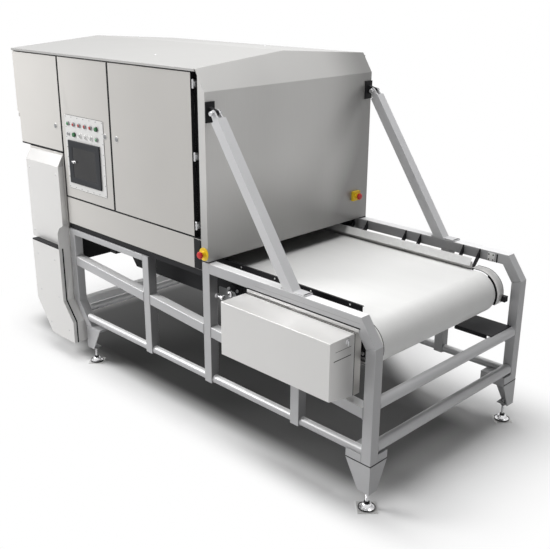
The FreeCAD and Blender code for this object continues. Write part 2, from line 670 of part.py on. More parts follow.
# Cabinet: roof, with turned-down edges and a mitred end where it meets the slanting hood.
SLANT = "chamfer_run / (eaves - chamfer_foot)"
ROOF_EDGE = "frame_half_width + roof_overhang"
ROOF_END = "cabinet_face - (%s) * (%s - chamfer_foot)"
SLANT_ANGLE = "atan(%s)" % SLANT
HOOD_EDGE = "skin / cos(%s) - running_gap" % SLANT_ANGLE
gable = prism("roof_gable", "YZ", [
    ("-(%s)" % ROOF_EDGE, "eaves - roof_lip"),
    ("-(%s)" % ROOF_EDGE, "eaves"),
    ("0", "eaves + roof_rise"),
    (ROOF_EDGE, "eaves"),
    (ROOF_EDGE, "eaves - roof_lip"),
    (ROOF_EDGE + " - skin", "eaves - roof_lip"),
    (ROOF_EDGE + " - skin", "eaves - skin"),
    ("0", "eaves + roof_rise - skin"),
    ("-(%s) + skin" % ROOF_EDGE, "eaves - skin"),
    ("-(%s) + skin" % ROOF_EDGE, "eaves - roof_lip"),
], ("cabinet_left", "cabinet_face"))
roof_side = prism("roof_side", "XZ", [
    ("cabinet_left", "eaves - 2 * roof_lip"),
    (ROOF_END % (SLANT, "(eaves - 2 * roof_lip)") + " - " + HOOD_EDGE, "eaves - 2 * roof_lip"),
    (ROOF_END % (SLANT, "(eaves + roof_rise + skin)") + " - " + HOOD_EDGE, "eaves + roof_rise + skin"),
    ("cabinet_left", "eaves + roof_rise + skin"),
], ("-(%s)" % ROOF_EDGE, ROOF_EDGE))
roof_end = prism("roof_end_sheet", "YZ", [
    ("-frame_half_width", "eaves - roof_lip"),
    ("-frame_half_width", "eaves - skin / 2"),
    ("0", "eaves + roof_rise - skin / 2"),
    ("frame_half_width", "eaves - skin / 2"),
    ("frame_half_width", "eaves - roof_lip"),
], ("cabinet_left", "cabinet_left + skin"))
node(fuse("roof", common("roof_sheet", gable, roof_side), roof_end))

# Cabinet: infeed hood, one folded sheet for face and slanting top with a column down each side.
HOOD_BOTTOM = "rail_top + cabinet_seat"
SLANT_STEP = "skin * tan(%s / 2)" % SLANT_ANGLE
FOLD_TOP = "eaves + roof_rise + skin"
FOLD_END = ROOF_END % (SLANT, "(%s)" % FOLD_TOP)
hood_fold = prism("hood_fold", "XZ", [
    ("cabinet_face", HOOD_BOTTOM),
    ("cabinet_face", "chamfer_foot"),
    (FOLD_END, FOLD_TOP),
    (FOLD_END + " - skin / cos(%s)" % SLANT_ANGLE, FOLD_TOP),
    ("cabinet_face - skin", "chamfer_foot - " + SLANT_STEP),
    ("cabinet_face - skin", HOOD_BOTTOM),
], (NEAR_FACE, "frame_half_width"))
hood_limit = prism("hood_limit", "YZ", [
    (NEAR_FACE, HOOD_BOTTOM + " - skin"),
    ("frame_half_width", HOOD_BOTTOM + " - skin"),
    ("frame_half_width", "eaves"),
    ("0", "eaves + roof_rise"),
    (NEAR_FACE, "eaves"),
], ("cabinet_face - 4 * column_width", "cabinet_face + skin"))
hood_column = prism("hood_column", "XZ", [
    ("cabinet_face - column_width", HOOD_BOTTOM),
    ("cabinet_face", HOOD_BOTTOM),
    ("cabinet_face", "chamfer_foot"),
    ("cabinet_face - column_width", "chamfer_foot + column_width / (%s)" % SLANT),
], (NEAR_FACE, NEAR_FACE + " + skin"))
hood_return = block("hood_return", ("cabinet_face - column_width", "cabinet_face - column_width + skin"),
                    (NEAR_FACE, NEAR_FACE + " + jamb"), (HOOD_BOTTOM, "chamfer_foot"))
near_column = fuse("near_column", hood_column, hood_return)
node(fuse("end_hood", common("hood_sheet", hood_fold, hood_limit), near_column,
          mirrored("far_column", near_column)))

# Cabinet: outfeed end wall with its step, and the floor strip over the side covers.
JOG_X = "cabinet_left + jog_depth"
DOOR_BACK = NEAR_FACE + " + door_thickness"
FRAME_FRONT = DOOR_BACK + " + frame_gap"
FRAME_BACK = FRAME_FRONT + " + jamb"
FAR_FACE = "frame_half_width"
end_wall = prism("end_wall_sheet", "XZ", [
    ("cabinet_left", "eaves - roof_lip"),
    ("cabinet_left", "jog_top"),
    (JOG_X, "jog_bottom"),
    (JOG_X, "housing_top"),
    ("housing_left", "housing_top"),
    ("housing_left", "housing_top + skin"),
    (JOG_X + " + skin", "housing_top + skin"),
    (JOG_X + " + skin", "jog_bottom"),
    ("cabinet_left + skin", "jog_top"),
    ("cabinet_left + skin", "eaves - roof_lip"),
], (FRAME_FRONT, FAR_FACE + " - skin"))
node(end_wall).Label = "outfeed_end_wall"

# Cabinet: rear panels on the far side, with open seams between them.
REAR = (FAR_FACE + " - skin", FAR_FACE)
REAR_BOTTOM = HOOD_BOTTOM + " + jamb / 2"
rear_left = prism("rear_left_panel", "XZ", [
    ("cabinet_left", "eaves - roof_lip"),
    ("cabinet_left", "jog_top"),
    (JOG_X, "jog_bottom"),
    (JOG_X, "housing_top"),
    ("left_seam", "housing_top"),
    ("left_seam", "eaves - roof_lip"),
], REAR)
rear_middle = block("rear_middle_panel", ("left_seam + seam / 2", "right_seam - seam / 2"), REAR,
                    (REAR_BOTTOM, "eaves - roof_lip"))
rear_right = cut("rear_right_panel",
                 block("rear_right_sheet", ("right_seam + seam / 2", "cabinet_face - column_width - running_gap"),
                       REAR, (REAR_BOTTOM, "eaves - roof_lip")),
                 hood_fold)
rear_apron = block("rear_apron_panel", ("left_seam", "cabinet_face - column_width - running_gap"), REAR,
                   ("apron_bottom", REAR_BOTTOM + " - seam"))
node(group("rear_panels", rear_left, rear_middle, rear_right, rear_apron))

# Cabinet: welded frame behind the doors, with the hinge pins that carry them.
HINGE_Y = NEAR_FACE + " + hinge_inset"
DOOR_EDGES = {
    "left": ("cabinet_left", "left_seam - seam / 2", "left_door_bottom"),
    "control": ("left_seam + seam / 2", "right_seam - seam / 2", "main_door_bottom"),
    "main": ("right_seam + seam / 2", "main_door_end", "main_door_bottom"),
}
HINGE_X = {
    "left": "cabinet_left + hinge_inset",
    "control": "left_seam + seam / 2 + hinge_inset",
    "main": "main_door_end - hinge_inset",
}
SILL_TOP = "main_door_bottom - door_gap"
COLUMN_BACK = "cabinet_face - column_width"
RECESS = NEAR_FACE + " + skin / 2"
HEADER_END = "cabinet_face - chamfer_run - 2 * skin"
header = block("door_header", ("cabinet_left + skin", HEADER_END), (RECESS, FRAME_BACK),
               ("eaves - door_drop + door_gap", "eaves - skin"))
sill = block("door_sill", ("left_seam - seam", COLUMN_BACK), (RECESS, FRAME_BACK), ("apron_top", SILL_TOP))
left_sill = block("left_door_sill", ("housing_left", "left_seam - jamb_width / 2"), (RECESS, FRAME_BACK),
                  ("housing_top", "left_door_bottom - door_gap"))
sill_web = block("sill_web", ("left_seam", COLUMN_BACK),
                 (CHANNEL_FACE, CHANNEL_FACE + " + skin"), ("rail_top", "apron_top"))
left_lug = block("left_door_lug", ("cabinet_left + skin", JOG_X + " - frame_gap"),
                 (RECESS, FRAME_FRONT + " + hinge_lug"),
                 ("jog_bottom - skin / 2 - hinge_lug", "jog_bottom - skin / 2"))
rear_header = block("rear_header", ("cabinet_left + skin", HEADER_END),
                    ("frame_half_width - jamb", "frame_half_width - skin"),
                    ("eaves - door_drop - jamb / 2", "eaves - skin"))
rear_sill = block("rear_sill", ("left_seam", COLUMN_BACK),
                  ("frame_half_width - jamb", "frame_half_width - skin"), ("rail_top", "rail_top + jamb"))


LOWER_SEATS = {
    "left": ("jog_bottom - skin / 2", "jog_top + hinge_reach"),
    "control": (SILL_TOP, "main_door_bottom + hinge_reach"),
    "main": (SILL_TOP, "main_door_bottom + hinge_reach"),
}


def jamb_post(name, middle, bottom):
    """One upright behind a door seam."""
    return block(name, (middle + " - jamb_width / 2", middle + " + jamb_width / 2"),
                 (FRAME_FRONT, FRAME_BACK), (bottom, "eaves - door_drop + door_gap"))


def hinge_pin(door, upper):
    """A pin at the top or bottom of a door's hinge axis."""
    seat, reach = LOWER_SEATS[door]
    low = "eaves - door_drop - hinge_reach" if upper else seat
    high = "eaves - door_drop + door_gap" if upper else reach
    name = "%s_%s_pin" % (door, "upper" if upper else "lower")
    return rod(name, "Z", (HINGE_X[door], HINGE_Y), "hinge_pin / 2", (low, high))


pins = [hinge_pin(door, upper) for door in ("left", "control", "main") for upper in (True, False)]
node(group(
    "door_frame",
    header, sill, left_sill, sill_web, left_lug, rear_header, rear_sill,
    jamb_post("left_jamb", "left_seam", SILL_TOP),
    jamb_post("middle_jamb", "right_seam", SILL_TOP),
    jamb_post("right_jamb", "main_door_end + jamb_width / 2 - 10", SILL_TOP),
    *pins))

# Cabinet: apron under the doors.
node(hollow("apron", block("apron_solid", ("left_seam + 2", "cabinet_face - column_width"),
                           (NEAR_FACE, NEAR_FACE + " + apron_thickness"),
                           ("apron_bottom", "apron_top")), "skin / 2"))

# Doors: closed double-skin leaves, bored for their hinge pins and for the lock.
LOCK_X = {
    "left": "left_seam - lock_offset - seam",
    "control": "right_seam - lock_offset",
    "main": "right_seam + lock_offset",
}
LOCK_RADIUS = "lock_diameter / 2"
LOCK_Z = "left_door_bottom + lock_rise"


def door_bores(door):
    """The holes in a door leaf: both hinge pins and the lock's barrel."""
    seat, reach = LOWER_SEATS[door]
    bore = "hinge_pin / 2 + pin_clearance"
    place = (HINGE_X[door], HINGE_Y)
    return [
        rod(door + "_upper_bore", "Z", place, bore,
            ("eaves - door_drop - hinge_reach - running_gap", "eaves - door_drop + door_gap")),
        rod(door + "_lower_bore", "Z", place, bore, (seat, reach + " + running_gap")),
        rod(door + "_lock_bore", "Y", (LOCK_X[door], LOCK_Z), LOCK_RADIUS + " * 0.6 + pin_clearance",
            (NEAR_FACE + " - skin", DOOR_BACK + " + skin")),
    ]


left_leaf = prism("left_leaf", "XZ", [
    ("cabinet_left", "eaves - door_drop"),
    ("cabinet_left", "jog_top"),
    (JOG_X, "jog_bottom"),
    (JOG_X, "left_door_bottom"),
    ("left_seam - seam / 2", "left_door_bottom"),
    ("left_seam - seam / 2", "eaves - door_drop"),
], (NEAR_FACE, DOOR_BACK))
node(cut("left_door", left_leaf, *door_bores("left")))
PLATE_FRONT = NEAR_FACE + " - panel_thickness"
LAMP_RADIUS = "lamp_diameter / 2"
LAST_PLACE = 5


def column_x(number):
    """The centre of one lamp or switch in its row."""
    return "row_start + %d * row_pitch" % number


def switch_bores(name, front, back):
    """The holes for every switch stem: the lower row but its last place, and that place in the upper row."""
    return [rod("%s_%s_bore_%d" % (name, row, number), "Y", (column_x(number), row),
                LAMP_RADIUS + " * 0.6 + pin_clearance", (front, back))
            for row, numbers in (("switch_row", range(LAST_PLACE)), ("lamp_row", (LAST_PLACE,)))
            for number in numbers]


for door in ("control", "main"):
    left, right, bottom = DOOR_EDGES[door]
    leaf = block(door + "_leaf", (left, right), (NEAR_FACE, DOOR_BACK), (bottom, "eaves - door_drop"))
    bores = door_bores(door)
    if door == "control":
        bores += switch_bores("door", NEAR_FACE + " - skin",
                              NEAR_FACE + " + switch_stem + switch_throw + running_gap")
    node(cut(door + "_door", leaf, *bores))


def quarter_turn(door):
    """A lock: a round head on the door's face and a barrel with a cam behind it."""
    place = (LOCK_X[door], LOCK_Z)
    head = rod(door + "_lock_head", "Y", place, LOCK_RADIUS,
               (NEAR_FACE + " - 4.3", NEAR_FACE + " - running_gap"))
    barrel = rod(door + "_lock_barrel", "Y", place, LOCK_RADIUS + " * 0.6",
                 (NEAR_FACE + " - 1", DOOR_BACK + " + 1"))
    key = block(door + "_lock_key", (LOCK_X[door] + " - 2", LOCK_X[door] + " + 2"),
                (NEAR_FACE + " - 6", NEAR_FACE + " - 4"), (LOCK_Z + " - 7", LOCK_Z + " + 7"))
    return node(fuse(door + "_door_lock", head, barrel, key))


for door in ("left", "control", "main"):
    quarter_turn(door)

# Control plate with its lamps, screen, push buttons, selectors and key switch.
plate_solid = block("control_plate_solid", ("panel_left", "panel_right"), (PLATE_FRONT, NEAR_FACE),
                    ("panel_bottom", "panel_top"))
plate_bores = switch_bores("plate", PLATE_FRONT + " - skin", NEAR_FACE + " + skin")
LAMP_PLACES = [(number, "lamp_row") for number in range(LAST_PLACE)] + [(LAST_PLACE, "switch_row")]
lamps = [turned("lamp_%d" % index, "Y", (column_x(number), row), PLATE_FRONT + " - lamp_height", [
    ("0", "0"),
    (LAMP_RADIUS + " * 0.6", "0"),
    (LAMP_RADIUS, "lamp_height * 0.5"),
    (LAMP_RADIUS, "lamp_height"),
    ("0", "lamp_height"),
]) for index, (number, row) in enumerate(LAMP_PLACES)]
node(group("control_plate", cut("control_plate_sheet", plate_solid, *plate_bores), *lamps))

bezel_solid = block("bezel_solid", ("bezel_left", "bezel_right"),
                    (PLATE_FRONT + " - bezel_thickness", PLATE_FRONT), ("bezel_bottom", "bezel_top"))
screen_window = block("screen_window", ("bezel_left + screen_margin_side", "bezel_right - screen_margin_side"),
                      (PLATE_FRONT + " - 2 * bezel_thickness",
                       PLATE_FRONT + " - bezel_thickness + screen_depth"),
                      ("bezel_bottom + screen_margin_top", "bezel_top - screen_margin_top"))
node(cut("operator_screen", bezel_solid, screen_window))


def push_button(name, number, row):
    """A push button whose stem slides in the control plate."""
    place = (column_x(number), row)
    tip = PLATE_FRONT + " - button_height"
    head = rod(name + "_head", "Y", place, LAMP_RADIUS + " * 1.2",
               (tip, PLATE_FRONT + " - switch_throw - running_gap"))
    stem = rod(name + "_stem", "Y", place, LAMP_RADIUS + " * 0.6",
               (tip, NEAR_FACE + " + switch_stem"))
    return node(fuse(name, head, stem))


def selector(name, number, handle):
    """A rotary switch: a round head with a bar handle across it."""
    place = (column_x(number), "switch_row")
    head = rod(name + "_head", "Y", place, LAMP_RADIUS,
               (PLATE_FRONT + " - lamp_height * 0.6", PLATE_FRONT + " - running_gap"))
    stem = rod(name + "_stem", "Y", place, LAMP_RADIUS + " * 0.6",
               (PLATE_FRONT + " - lamp_height * 0.5", NEAR_FACE + " + switch_stem"))
    bar = block(name + "_handle",
                (column_x(number) + " - %s / 2" % handle, column_x(number) + " + %s / 2" % handle),
                (PLATE_FRONT + " - selector_height", PLATE_FRONT + " - lamp_height * 0.5"),
                ("switch_row - " + LAMP_RADIUS + " * 0.9", "switch_row + " + LAMP_RADIUS + " * 0.9"))
    return node(fuse(name, head, stem, bar))


push_button("start_button", 1, "switch_row")
push_button("reset_button", LAST_PLACE, "lamp_row")
selector("feed_selector", 2, "lamp_diameter * 0.35")
selector("reject_selector", 3, "lamp_diameter * 0.35")
selector("light_selector", 4, "lamp_diameter * 0.35")
selector("key_switch", 0, "lamp_diameter * 0.14")

# Emergency stops: one on the near corner column, one on a box on the infeed face.


def stop_head(name, axis, centre, face, out, collar):
    """A mushroom head with a stem that slides in its collar."""
    rim = "mushroom_diameter / 2"
    reach = "legend_thickness + %s + running_gap + estop_throw" % collar
    profile = [
        ("0", "legend_thickness + running_gap + estop_throw"),
        ("collar_diameter * 0.25", "legend_thickness + running_gap + estop_throw"),
        ("collar_diameter * 0.25", reach),
        (rim + " * 0.72", reach),
        (rim, reach + " + mushroom_height * 0.3"),
        (rim, reach + " + mushroom_height * 0.6"),
        (rim + " * 0.7", reach + " + mushroom_height * 0.92"),
        ("0", reach + " + mushroom_height"),
    ]
    if out < 0:
        profile = [(across, "-(%s)" % up) for across, up in profile]
    return node(turned(name, axis, centre, face, profile))


def stop_collar(name, axis, centre, face, out, collar):
    """A stop's collar, and the bore that its head slides in."""
    def reach(low, high):
        if out > 0:
            return (face + " + " + low, face + " + " + high)
        return (face + " - (" + high + ")", face + " - (" + low + ")")
    ring = rod(name + "_collar", axis, centre, "collar_diameter / 2", reach("0", "legend_thickness + " + collar))
    bore = rod(name + "_bore", axis, centre, "collar_diameter * 0.25 + pin_clearance",
               reach("legend_thickness", "legend_thickness + 2 * " + collar))
    return ring, bore


near_stop = ("estop_x", "estop_height")
legend = rod("near_stop_legend", "Y", near_stop, "legend_diameter / 2",
             (NEAR_FACE + " - legend_thickness", NEAR_FACE))
ring, bore = stop_collar("near_stop", "Y", near_stop, NEAR_FACE, -1, "collar_height")
node(cut("near_estop_base", fuse("near_stop_body", legend, ring), bore))
stop_head("near_estop_button", "Y", near_stop, NEAR_FACE, -1, "collar_height")

far_stop = ("far_estop_y", "far_estop_height")
far_box_front = "cabinet_face + far_box_depth"
far_box = block("far_stop_box", ("cabinet_face", far_box_front),
                ("far_estop_y - far_box_width / 2", "far_estop_y + far_box_width / 2"),
                ("far_estop_height - far_box_height / 2", "far_estop_height + far_box_height / 2"))
ring, bore = stop_collar("far_stop", "X", far_stop, far_box_front, 1, "far_collar_height")
node(cut("far_estop_base", fuse("far_stop_body", far_box, ring), bore))
stop_head("far_estop_button", "X", far_stop, far_box_front, 1, "far_collar_height")

# Outfeed housing under the left door, open below for the product, with its two side covers.
housing_outer = block("housing_outer", ("housing_left", "housing_right"), (NEAR_FACE, FAR_FACE),
                      ("housing_bottom", "housing_top"))
housing_inner = block("housing_inner", ("housing_left + skin", "housing_right - skin"),
                      (NEAR_FACE + " + skin", FAR_FACE + " - skin"),
                      ("housing_bottom - skin", "housing_top + skin"))
housing_window = block("housing_window", ("housing_right - 2 * skin", "housing_right + skin"),
                       (NEAR_FACE + " + skin", FAR_FACE + " - skin"), ("outlet_sill", "housing_top + skin"))
node(cut("outfeed_housing", housing_outer, housing_inner, housing_window))

upper_cover = prism("upper_cover_solid", "YZ", [
    (NEAR_FACE, "housing_bottom"),
    (NEAR_FACE + " - upper_cover_depth", "housing_bottom"),
    (NEAR_FACE + " - upper_cover_depth", "upper_cover_shoulder"),
    (NEAR_FACE, "upper_cover_top"),
], ("housing_left", "upper_cover_right"))
node(hollow("upper_side_cover", upper_cover, "skin / 2"))

COVER_FRONT = NEAR_FACE + " - lower_cover_front"
LID_BACK = COVER_FRONT + " + lower_lid_thickness"


def cover_outline(inset):
    """The lower side cover's outline, drawn in by an inset at its long edges."""
    return [
        ("lower_cover_left + " + inset, "lower_cover_top - " + inset),
        ("lower_cover_left + " + inset, "lower_cover_bend"),
        ("lower_cover_toe_left + " + inset, "lower_cover_bottom + " + inset),
        ("lower_cover_toe_right - " + inset, "lower_cover_bottom + " + inset),
        ("lower_cover_toe_right - " + inset, "lower_cover_knee"),
        ("lower_cover_right - " + inset, "leg_bend"),
        ("lower_cover_right - " + inset, "lower_cover_top - " + inset),
    ]


cover_lid = prism("cover_lid", "XZ", cover_outline("0"), (COVER_FRONT, LID_BACK))
cover_seal = prism("cover_seal", "XZ", cover_outline("10"), (LID_BACK, LID_BACK + " + lower_seam"))
cover_body = prism("cover_body", "XZ", cover_outline("0"),
                   (LID_BACK + " + lower_seam", NEAR_FACE + " + tube / 3"))
ear = prism("ear_sheet", "YZ", [
    (COVER_FRONT, "lower_cover_top"),
    (NEAR_FACE, "lower_cover_top"),
    (NEAR_FACE, "lower_cover_top + ear_height"),
    (COVER_FRONT + " + ear_radius", "lower_cover_top + ear_height"),
    (COVER_FRONT + " + ear_radius * 0.29", "lower_cover_top + ear_height - ear_radius * 0.29"),
    (COVER_FRONT, "lower_cover_top + ear_height - ear_radius"),
], ("lower_cover_right - ear_thickness", "lower_cover_right"))
spacers = [rod("cover_spacer_%d" % number, "X", (NEAR_FACE + " + tube / 6", "leg_bend + %d * tube" % number),
               "tube / 8", ("lower_cover_right", LEG_LEFT)) for number in (1, 5)]
node(fuse("lower_side_cover", cover_lid, cover_seal, cover_body, ear, *spacers))

# Belt loop: the carrying strand is level, the return strand runs up from the infeed drum.
HEAD_Z = "belt_top - head_radius"
TAIL_Z = "belt_top - tail_radius"
BELT_FALL = "(2 * atan((head_radius - tail_radius) / (head_x - tail_x)))"


def belt_loop(name, inset, half_width):
    """The space inside a loop of belt, drawn in by an inset."""
    span = ("-(%s)" % half_width, half_width)
    head_radius = "(head_radius - %s)" % inset
    tail_radius = "(tail_radius - %s)" % inset
    head = rod(name + "_head", "Y", ("head_x", HEAD_Z), head_radius, span)
    tail = rod(name + "_tail", "Y", ("tail_x", TAIL_Z), tail_radius, span)
    middle = prism(name + "_middle", "XZ", [
        ("head_x", "belt_top - " + inset),
        ("tail_x", "belt_top - " + inset),
        ("tail_x - %s * sin%s" % (tail_radius, BELT_FALL), "%s - %s * cos%s" % (TAIL_Z, tail_radius, BELT_FALL)),
        ("head_x - %s * sin%s" % (head_radius, BELT_FALL), "%s - %s * cos%s" % (HEAD_Z, head_radius, BELT_FALL)),
    ], span)
    return fuse(name, head, tail, middle)


node(cut("belt", belt_loop("belt_outside", "0", "belt_half_width"),
         belt_loop("belt_inside", "belt_thickness", "belt_half_width + 10")))

# Drums: turned shells on stepped shafts. The tension drum rides on the return strand from inside.
RETURN_Z = ("(%s - head_radius * cos%s + (head_x - head_radius * sin%s - (%s)) * tan%s)"
            % (HEAD_Z, BELT_FALL, BELT_FALL, "%s", BELT_FALL))
TENSION_Z = "%s + (tension_radius + belt_thickness + running_gap) / cos%s" % (RETURN_Z % "tension_x", BELT_FALL)


def drum(name, centre, radius, near_end, far_end):
    """A drum with a flanged shell and its shaft."""
    shaft = "shaft_diameter / 2"
    return node(turned(name, "Y", centre, "0", [
        ("0", near_end),
        (shaft, near_end),
        (shaft, "-drum_half_width + 14"),
        (radius + " - 10", "-drum_half_width + 14"),
        (radius + " - 10", "-drum_half_width"),
        (radius, "-drum_half_width"),
        (radius, "drum_half_width"),
        (radius + " - 10", "drum_half_width"),
        (radius + " - 10", "drum_half_width - 14"),
        (shaft, "drum_half_width - 14"),
        (shaft, far_end),
        ("0", far_end),
    ]))


PLATE_OUTER = "side_plate_inner + side_plate"
SHAFT_END = PLATE_OUTER + " + bearing_depth"
PULLEY_BACK = "-frame_half_width - drive_plate - 30"
PULLEY_FRONT = PULLEY_BACK + " - pulley_width"
drum("head_drum_roll", ("head_x", HEAD_Z), "(head_radius - belt_thickness - running_gap)",
     PULLEY_FRONT + " - 10", SHAFT_END)
head_roll = NODES.pop()
head_pulley = rod("head_pulley", "Y", ("head_x", HEAD_Z), "drive_pulley_radius", (PULLEY_FRONT, PULLEY_BACK))
node(fuse("head_drum", head_roll, head_pulley))
drum("tension_drum", ("tension_x", TENSION_Z), "tension_radius", "-(%s)" % SHAFT_END, SHAFT_END)
drum("discharge_drum", ("tail_x", TAIL_Z), "(tail_radius - belt_thickness - running_gap)",
     "-(%s)" % SHAFT_END, SHAFT_END)

# Conveyor sides, bearings, bed and guards.
NEAR_SIDE = ("-(%s)" % PLATE_OUTER, "-side_plate_inner")
side_plate_blank = prism("side_plate_sheet", "XZ", [
    ("tail_x - tail_radius", "side_plate_top"),
    ("tail_x - tail_radius", "%s - 40" % TAIL_Z),
    ("tail_x", "side_plate_top - side_plate_drop"),
    ("tension_x", "%s - 60" % TENSION_Z),
    ("head_x - head_radius", "%s - 70" % HEAD_Z),
    ("head_x + 60", "%s - 70" % HEAD_Z),
    ("head_x + 60", "side_plate_top - 30"),
    ("head_x + 30", "side_plate_top"),
], NEAR_SIDE)
shaft_rooms = [
    rod("head_shaft_room", "Y", ("head_x", HEAD_Z), "shaft_diameter / 2 + 2", ("-frame_half_width", "0")),
    rod("tension_shaft_room", "Y", ("tension_x", TENSION_Z), "shaft_diameter / 2 + 2", ("-frame_half_width", "0")),
    rod("tail_shaft_room", "Y", ("tail_x", TAIL_Z), "shaft_diameter / 2 + 2", ("-frame_half_width", "0")),
]
node(both_sides("conveyor_sides", cut("near_conveyor_side", side_plate_blank, *shaft_rooms)))


def bearing(name, along, up):
    """A flanged bearing with a round boss, bored for the shaft."""
    front = "-(%s)" % SHAFT_END
    flange = block(name + "_flange", (along + " - bearing_size / 2", along + " + bearing_size / 2"),
                   ("-(%s) - 10" % PLATE_OUTER, "-(%s)" % PLATE_OUTER),
                   ("(%s) - bearing_size / 2" % up, "(%s) + bearing_size / 2" % up))
    boss = rod(name + "_boss", "Y", (along, up), "bearing_size * 0.38", (front, "-(%s) - 5" % PLATE_OUTER))
    hole = rod(name + "_hole", "Y", (along, up), "shaft_diameter / 2 + pin_clearance",
               (front + " - 5", "-(%s) + 5" % PLATE_OUTER))
    return cut(name, fuse(name + "_body", flange, boss), hole)


node(both_sides(
    "drum_bearings",
    bearing("head_bearing", "head_x", HEAD_Z),
    bearing("tension_bearing", "tension_x", TENSION_Z),
    bearing("tail_bearing", "tail_x", TAIL_Z),
))
BED_TOP = "belt_top - belt_thickness - running_gap"
bed_plate = block("bed_plate", ("tail_x + tail_radius", "head_x - head_radius"),
                  ("-side_plate_inner", "side_plate_inner"), (BED_TOP + " - skin", BED_TOP))
bed_rib = block("bed_rib", ("tail_x + tail_radius", "head_x - head_radius"),
                ("-side_plate_inner", "-side_plate_inner + skin"), (BED_TOP + " - bed_thickness", BED_TOP))
node(fuse("slider_bed", bed_plate, bed_rib, mirrored("bed_rib_far", bed_rib)))


def side_guard(name, end, top):
    """A product guard along the near side with its top folded over the belt."""
    web = block(name + "_web", ("tail_x", end),
                ("-(%s)" % PLATE_OUTER, "-(%s) + guard_thickness" % PLATE_OUTER), ("side_plate_top", top))
    flange = block(name + "_flange", ("tail_x", end),
                   ("-(%s)" % PLATE_OUTER, "-(%s) + 3 * guard_thickness" % PLATE_OUTER),
                   (top + " - guard_thickness", top))
    return fuse(name, web, flange)


near_guard = side_guard("near_guard", "guard_end", "guard_top")
far_guard = mirrored("far_guard", side_guard("far_guard_twin", "far_guard_end", "far_guard_top"))

# Curved guards from the top of the infeed drum down its front, on a disc, with a rubber stop.
RIM_FRONT = "head_x + end_guard_radius"
RIM_SPAN = ("%s - 2 * end_guard_radius" % HEAD_Z, "%s + 2 * end_guard_radius" % HEAD_Z)
end_rim = cut(
    "end_rim",
    rod("end_rim_outside", "Y", ("head_x", HEAD_Z), "end_guard_radius",
        ("-(%s) - end_guard_width" % PLATE_OUTER, "-(%s)" % PLATE_OUTER)),
    rod("end_rim_inside", "Y", ("head_x", HEAD_Z), "end_guard_radius - guard_thickness",
        ("-(%s) - end_guard_width - 5" % PLATE_OUTER, "-(%s) + 5" % PLATE_OUTER)),
    block("end_rim_trim", ("head_x - 2 * end_guard_radius", "head_x"), ("-frame_half_width", "0"), RIM_SPAN))
end_disc = cut(
    "end_disc",
    rod("end_disc_blank", "Y", ("head_x", HEAD_Z), "end_guard_radius",
        ("-(%s) - 2 * guard_thickness" % PLATE_OUTER, "-(%s)" % PLATE_OUTER)),
    rod("end_disc_hole", "Y", ("head_x", HEAD_Z), "end_guard_radius * 0.55", ("-frame_half_width", "0")),
    block("end_disc_trim", ("head_x - 2 * end_guard_radius", "head_x + bearing_size / 2 + 6"),
          ("-frame_half_width", "0"), RIM_SPAN))
end_foot_trim = block("end_foot_trim", ("head_x", RIM_FRONT + " + guard_stop"), ("-frame_half_width", "0"),
                      (RIM_SPAN[0], "end_guard_foot"))
guard_stop = block("guard_stop_block", (RIM_FRONT + " - guard_stop / 4", RIM_FRONT + " + guard_stop * 0.75"),
                   ("-(%s) - end_guard_width - guard_stop / 2" % PLATE_OUTER,
                    "-(%s) - end_guard_width + guard_stop / 2" % PLATE_OUTER),
                   ("end_guard_foot + guard_stop / 2", "end_guard_foot + guard_stop * 1.5"))
end_guard = cut("end_guard", fuse("end_guard_body", end_rim, end_disc, guard_stop), end_foot_trim)
node(group("side_guards", near_guard, far_guard, end_guard, mirrored("end_guard_far", end_guard)))

# Brackets between the rails and the conveyor, and the tray at the far infeed corner.


def gusset(name, centre):
    """A bracket from the rail's inner face to the conveyor side: two triangular ribs on one plate."""
    outline = [
        (NEAR_INNER, "rail_top"),
        ("-(%s)" % PLATE_OUTER, "side_plate_top"),
        ("-(%s)" % PLATE_OUTER, "side_plate_top - gusset_height * 0.6"),
        (NEAR_INNER, "rail_top - gusset_height"),
    ]
    left = "%s - gusset_pair / 2" % centre
    right = "%s + gusset_pair / 2" % centre
    ribs = [
        prism(name + "_left_rib", "YZ", outline, (left, left + " + gusset_plate")),
        prism(name + "_right_rib", "YZ", outline, (right + " - gusset_plate", right)),
    ]
    foot = block(name + "_foot", (left, right),
                 ("-(%s) - gusset_plate / 2" % PLATE_OUTER, "-(%s)" % PLATE_OUTER),
                 ("side_plate_top - gusset_height * 0.6", "side_plate_top"))
    return fuse(name, foot, *ribs)


gussets = [gusset("gusset_%d" % number, "gusset_start + %d * gusset_pitch" % number) for number in range(3)]
TRAY = "upper_crossbar + crossbar_diameter / 2"
tray_span = ("frame_half_width - tube - tray_width", "frame_half_width - tube")
tray_floor = block("tray_floor", (CORNER_AXIS + " - tray_length", CORNER_AXIS), tray_span,
                   (TRAY, TRAY + " + skin"))
tray_lip = block("tray_lip", (CORNER_AXIS + " - tray_length", CORNER_INNER),
                 (tray_span[0], tray_span[0] + " + skin"), (TRAY + " - 5 * skin", TRAY + " + skin"))
tray = fuse("corner_tray", tray_floor, tray_lip)
node(group("conveyor_brackets", *gussets,
           *[mirrored(piece.Name + "_far", piece) for piece in gussets], tray))

# Drive: cover with a sloping bottom, a seam, a plate with its tray, motor, pulleys and belt.
DRIVE_BACK = NEAR_FACE + " - drive_plate"
DRIVE_FRONT = DRIVE_BACK + " - drive_depth"
DRIVE_SEAM = DRIVE_BACK + " - drive_seam"
DRIVE_LOW = "drive_bottom - drive_drop"


def drive_profile(inset, back):
    """The drive cover seen from its end, drawn in by an inset."""
    return [
        (DRIVE_FRONT + " + " + inset, "drive_bottom + " + inset),
        (back, DRIVE_LOW + " + " + inset),
        (back, "drive_top - " + inset),
        (DRIVE_FRONT + " + " + inset, "drive_top - " + inset),
    ]


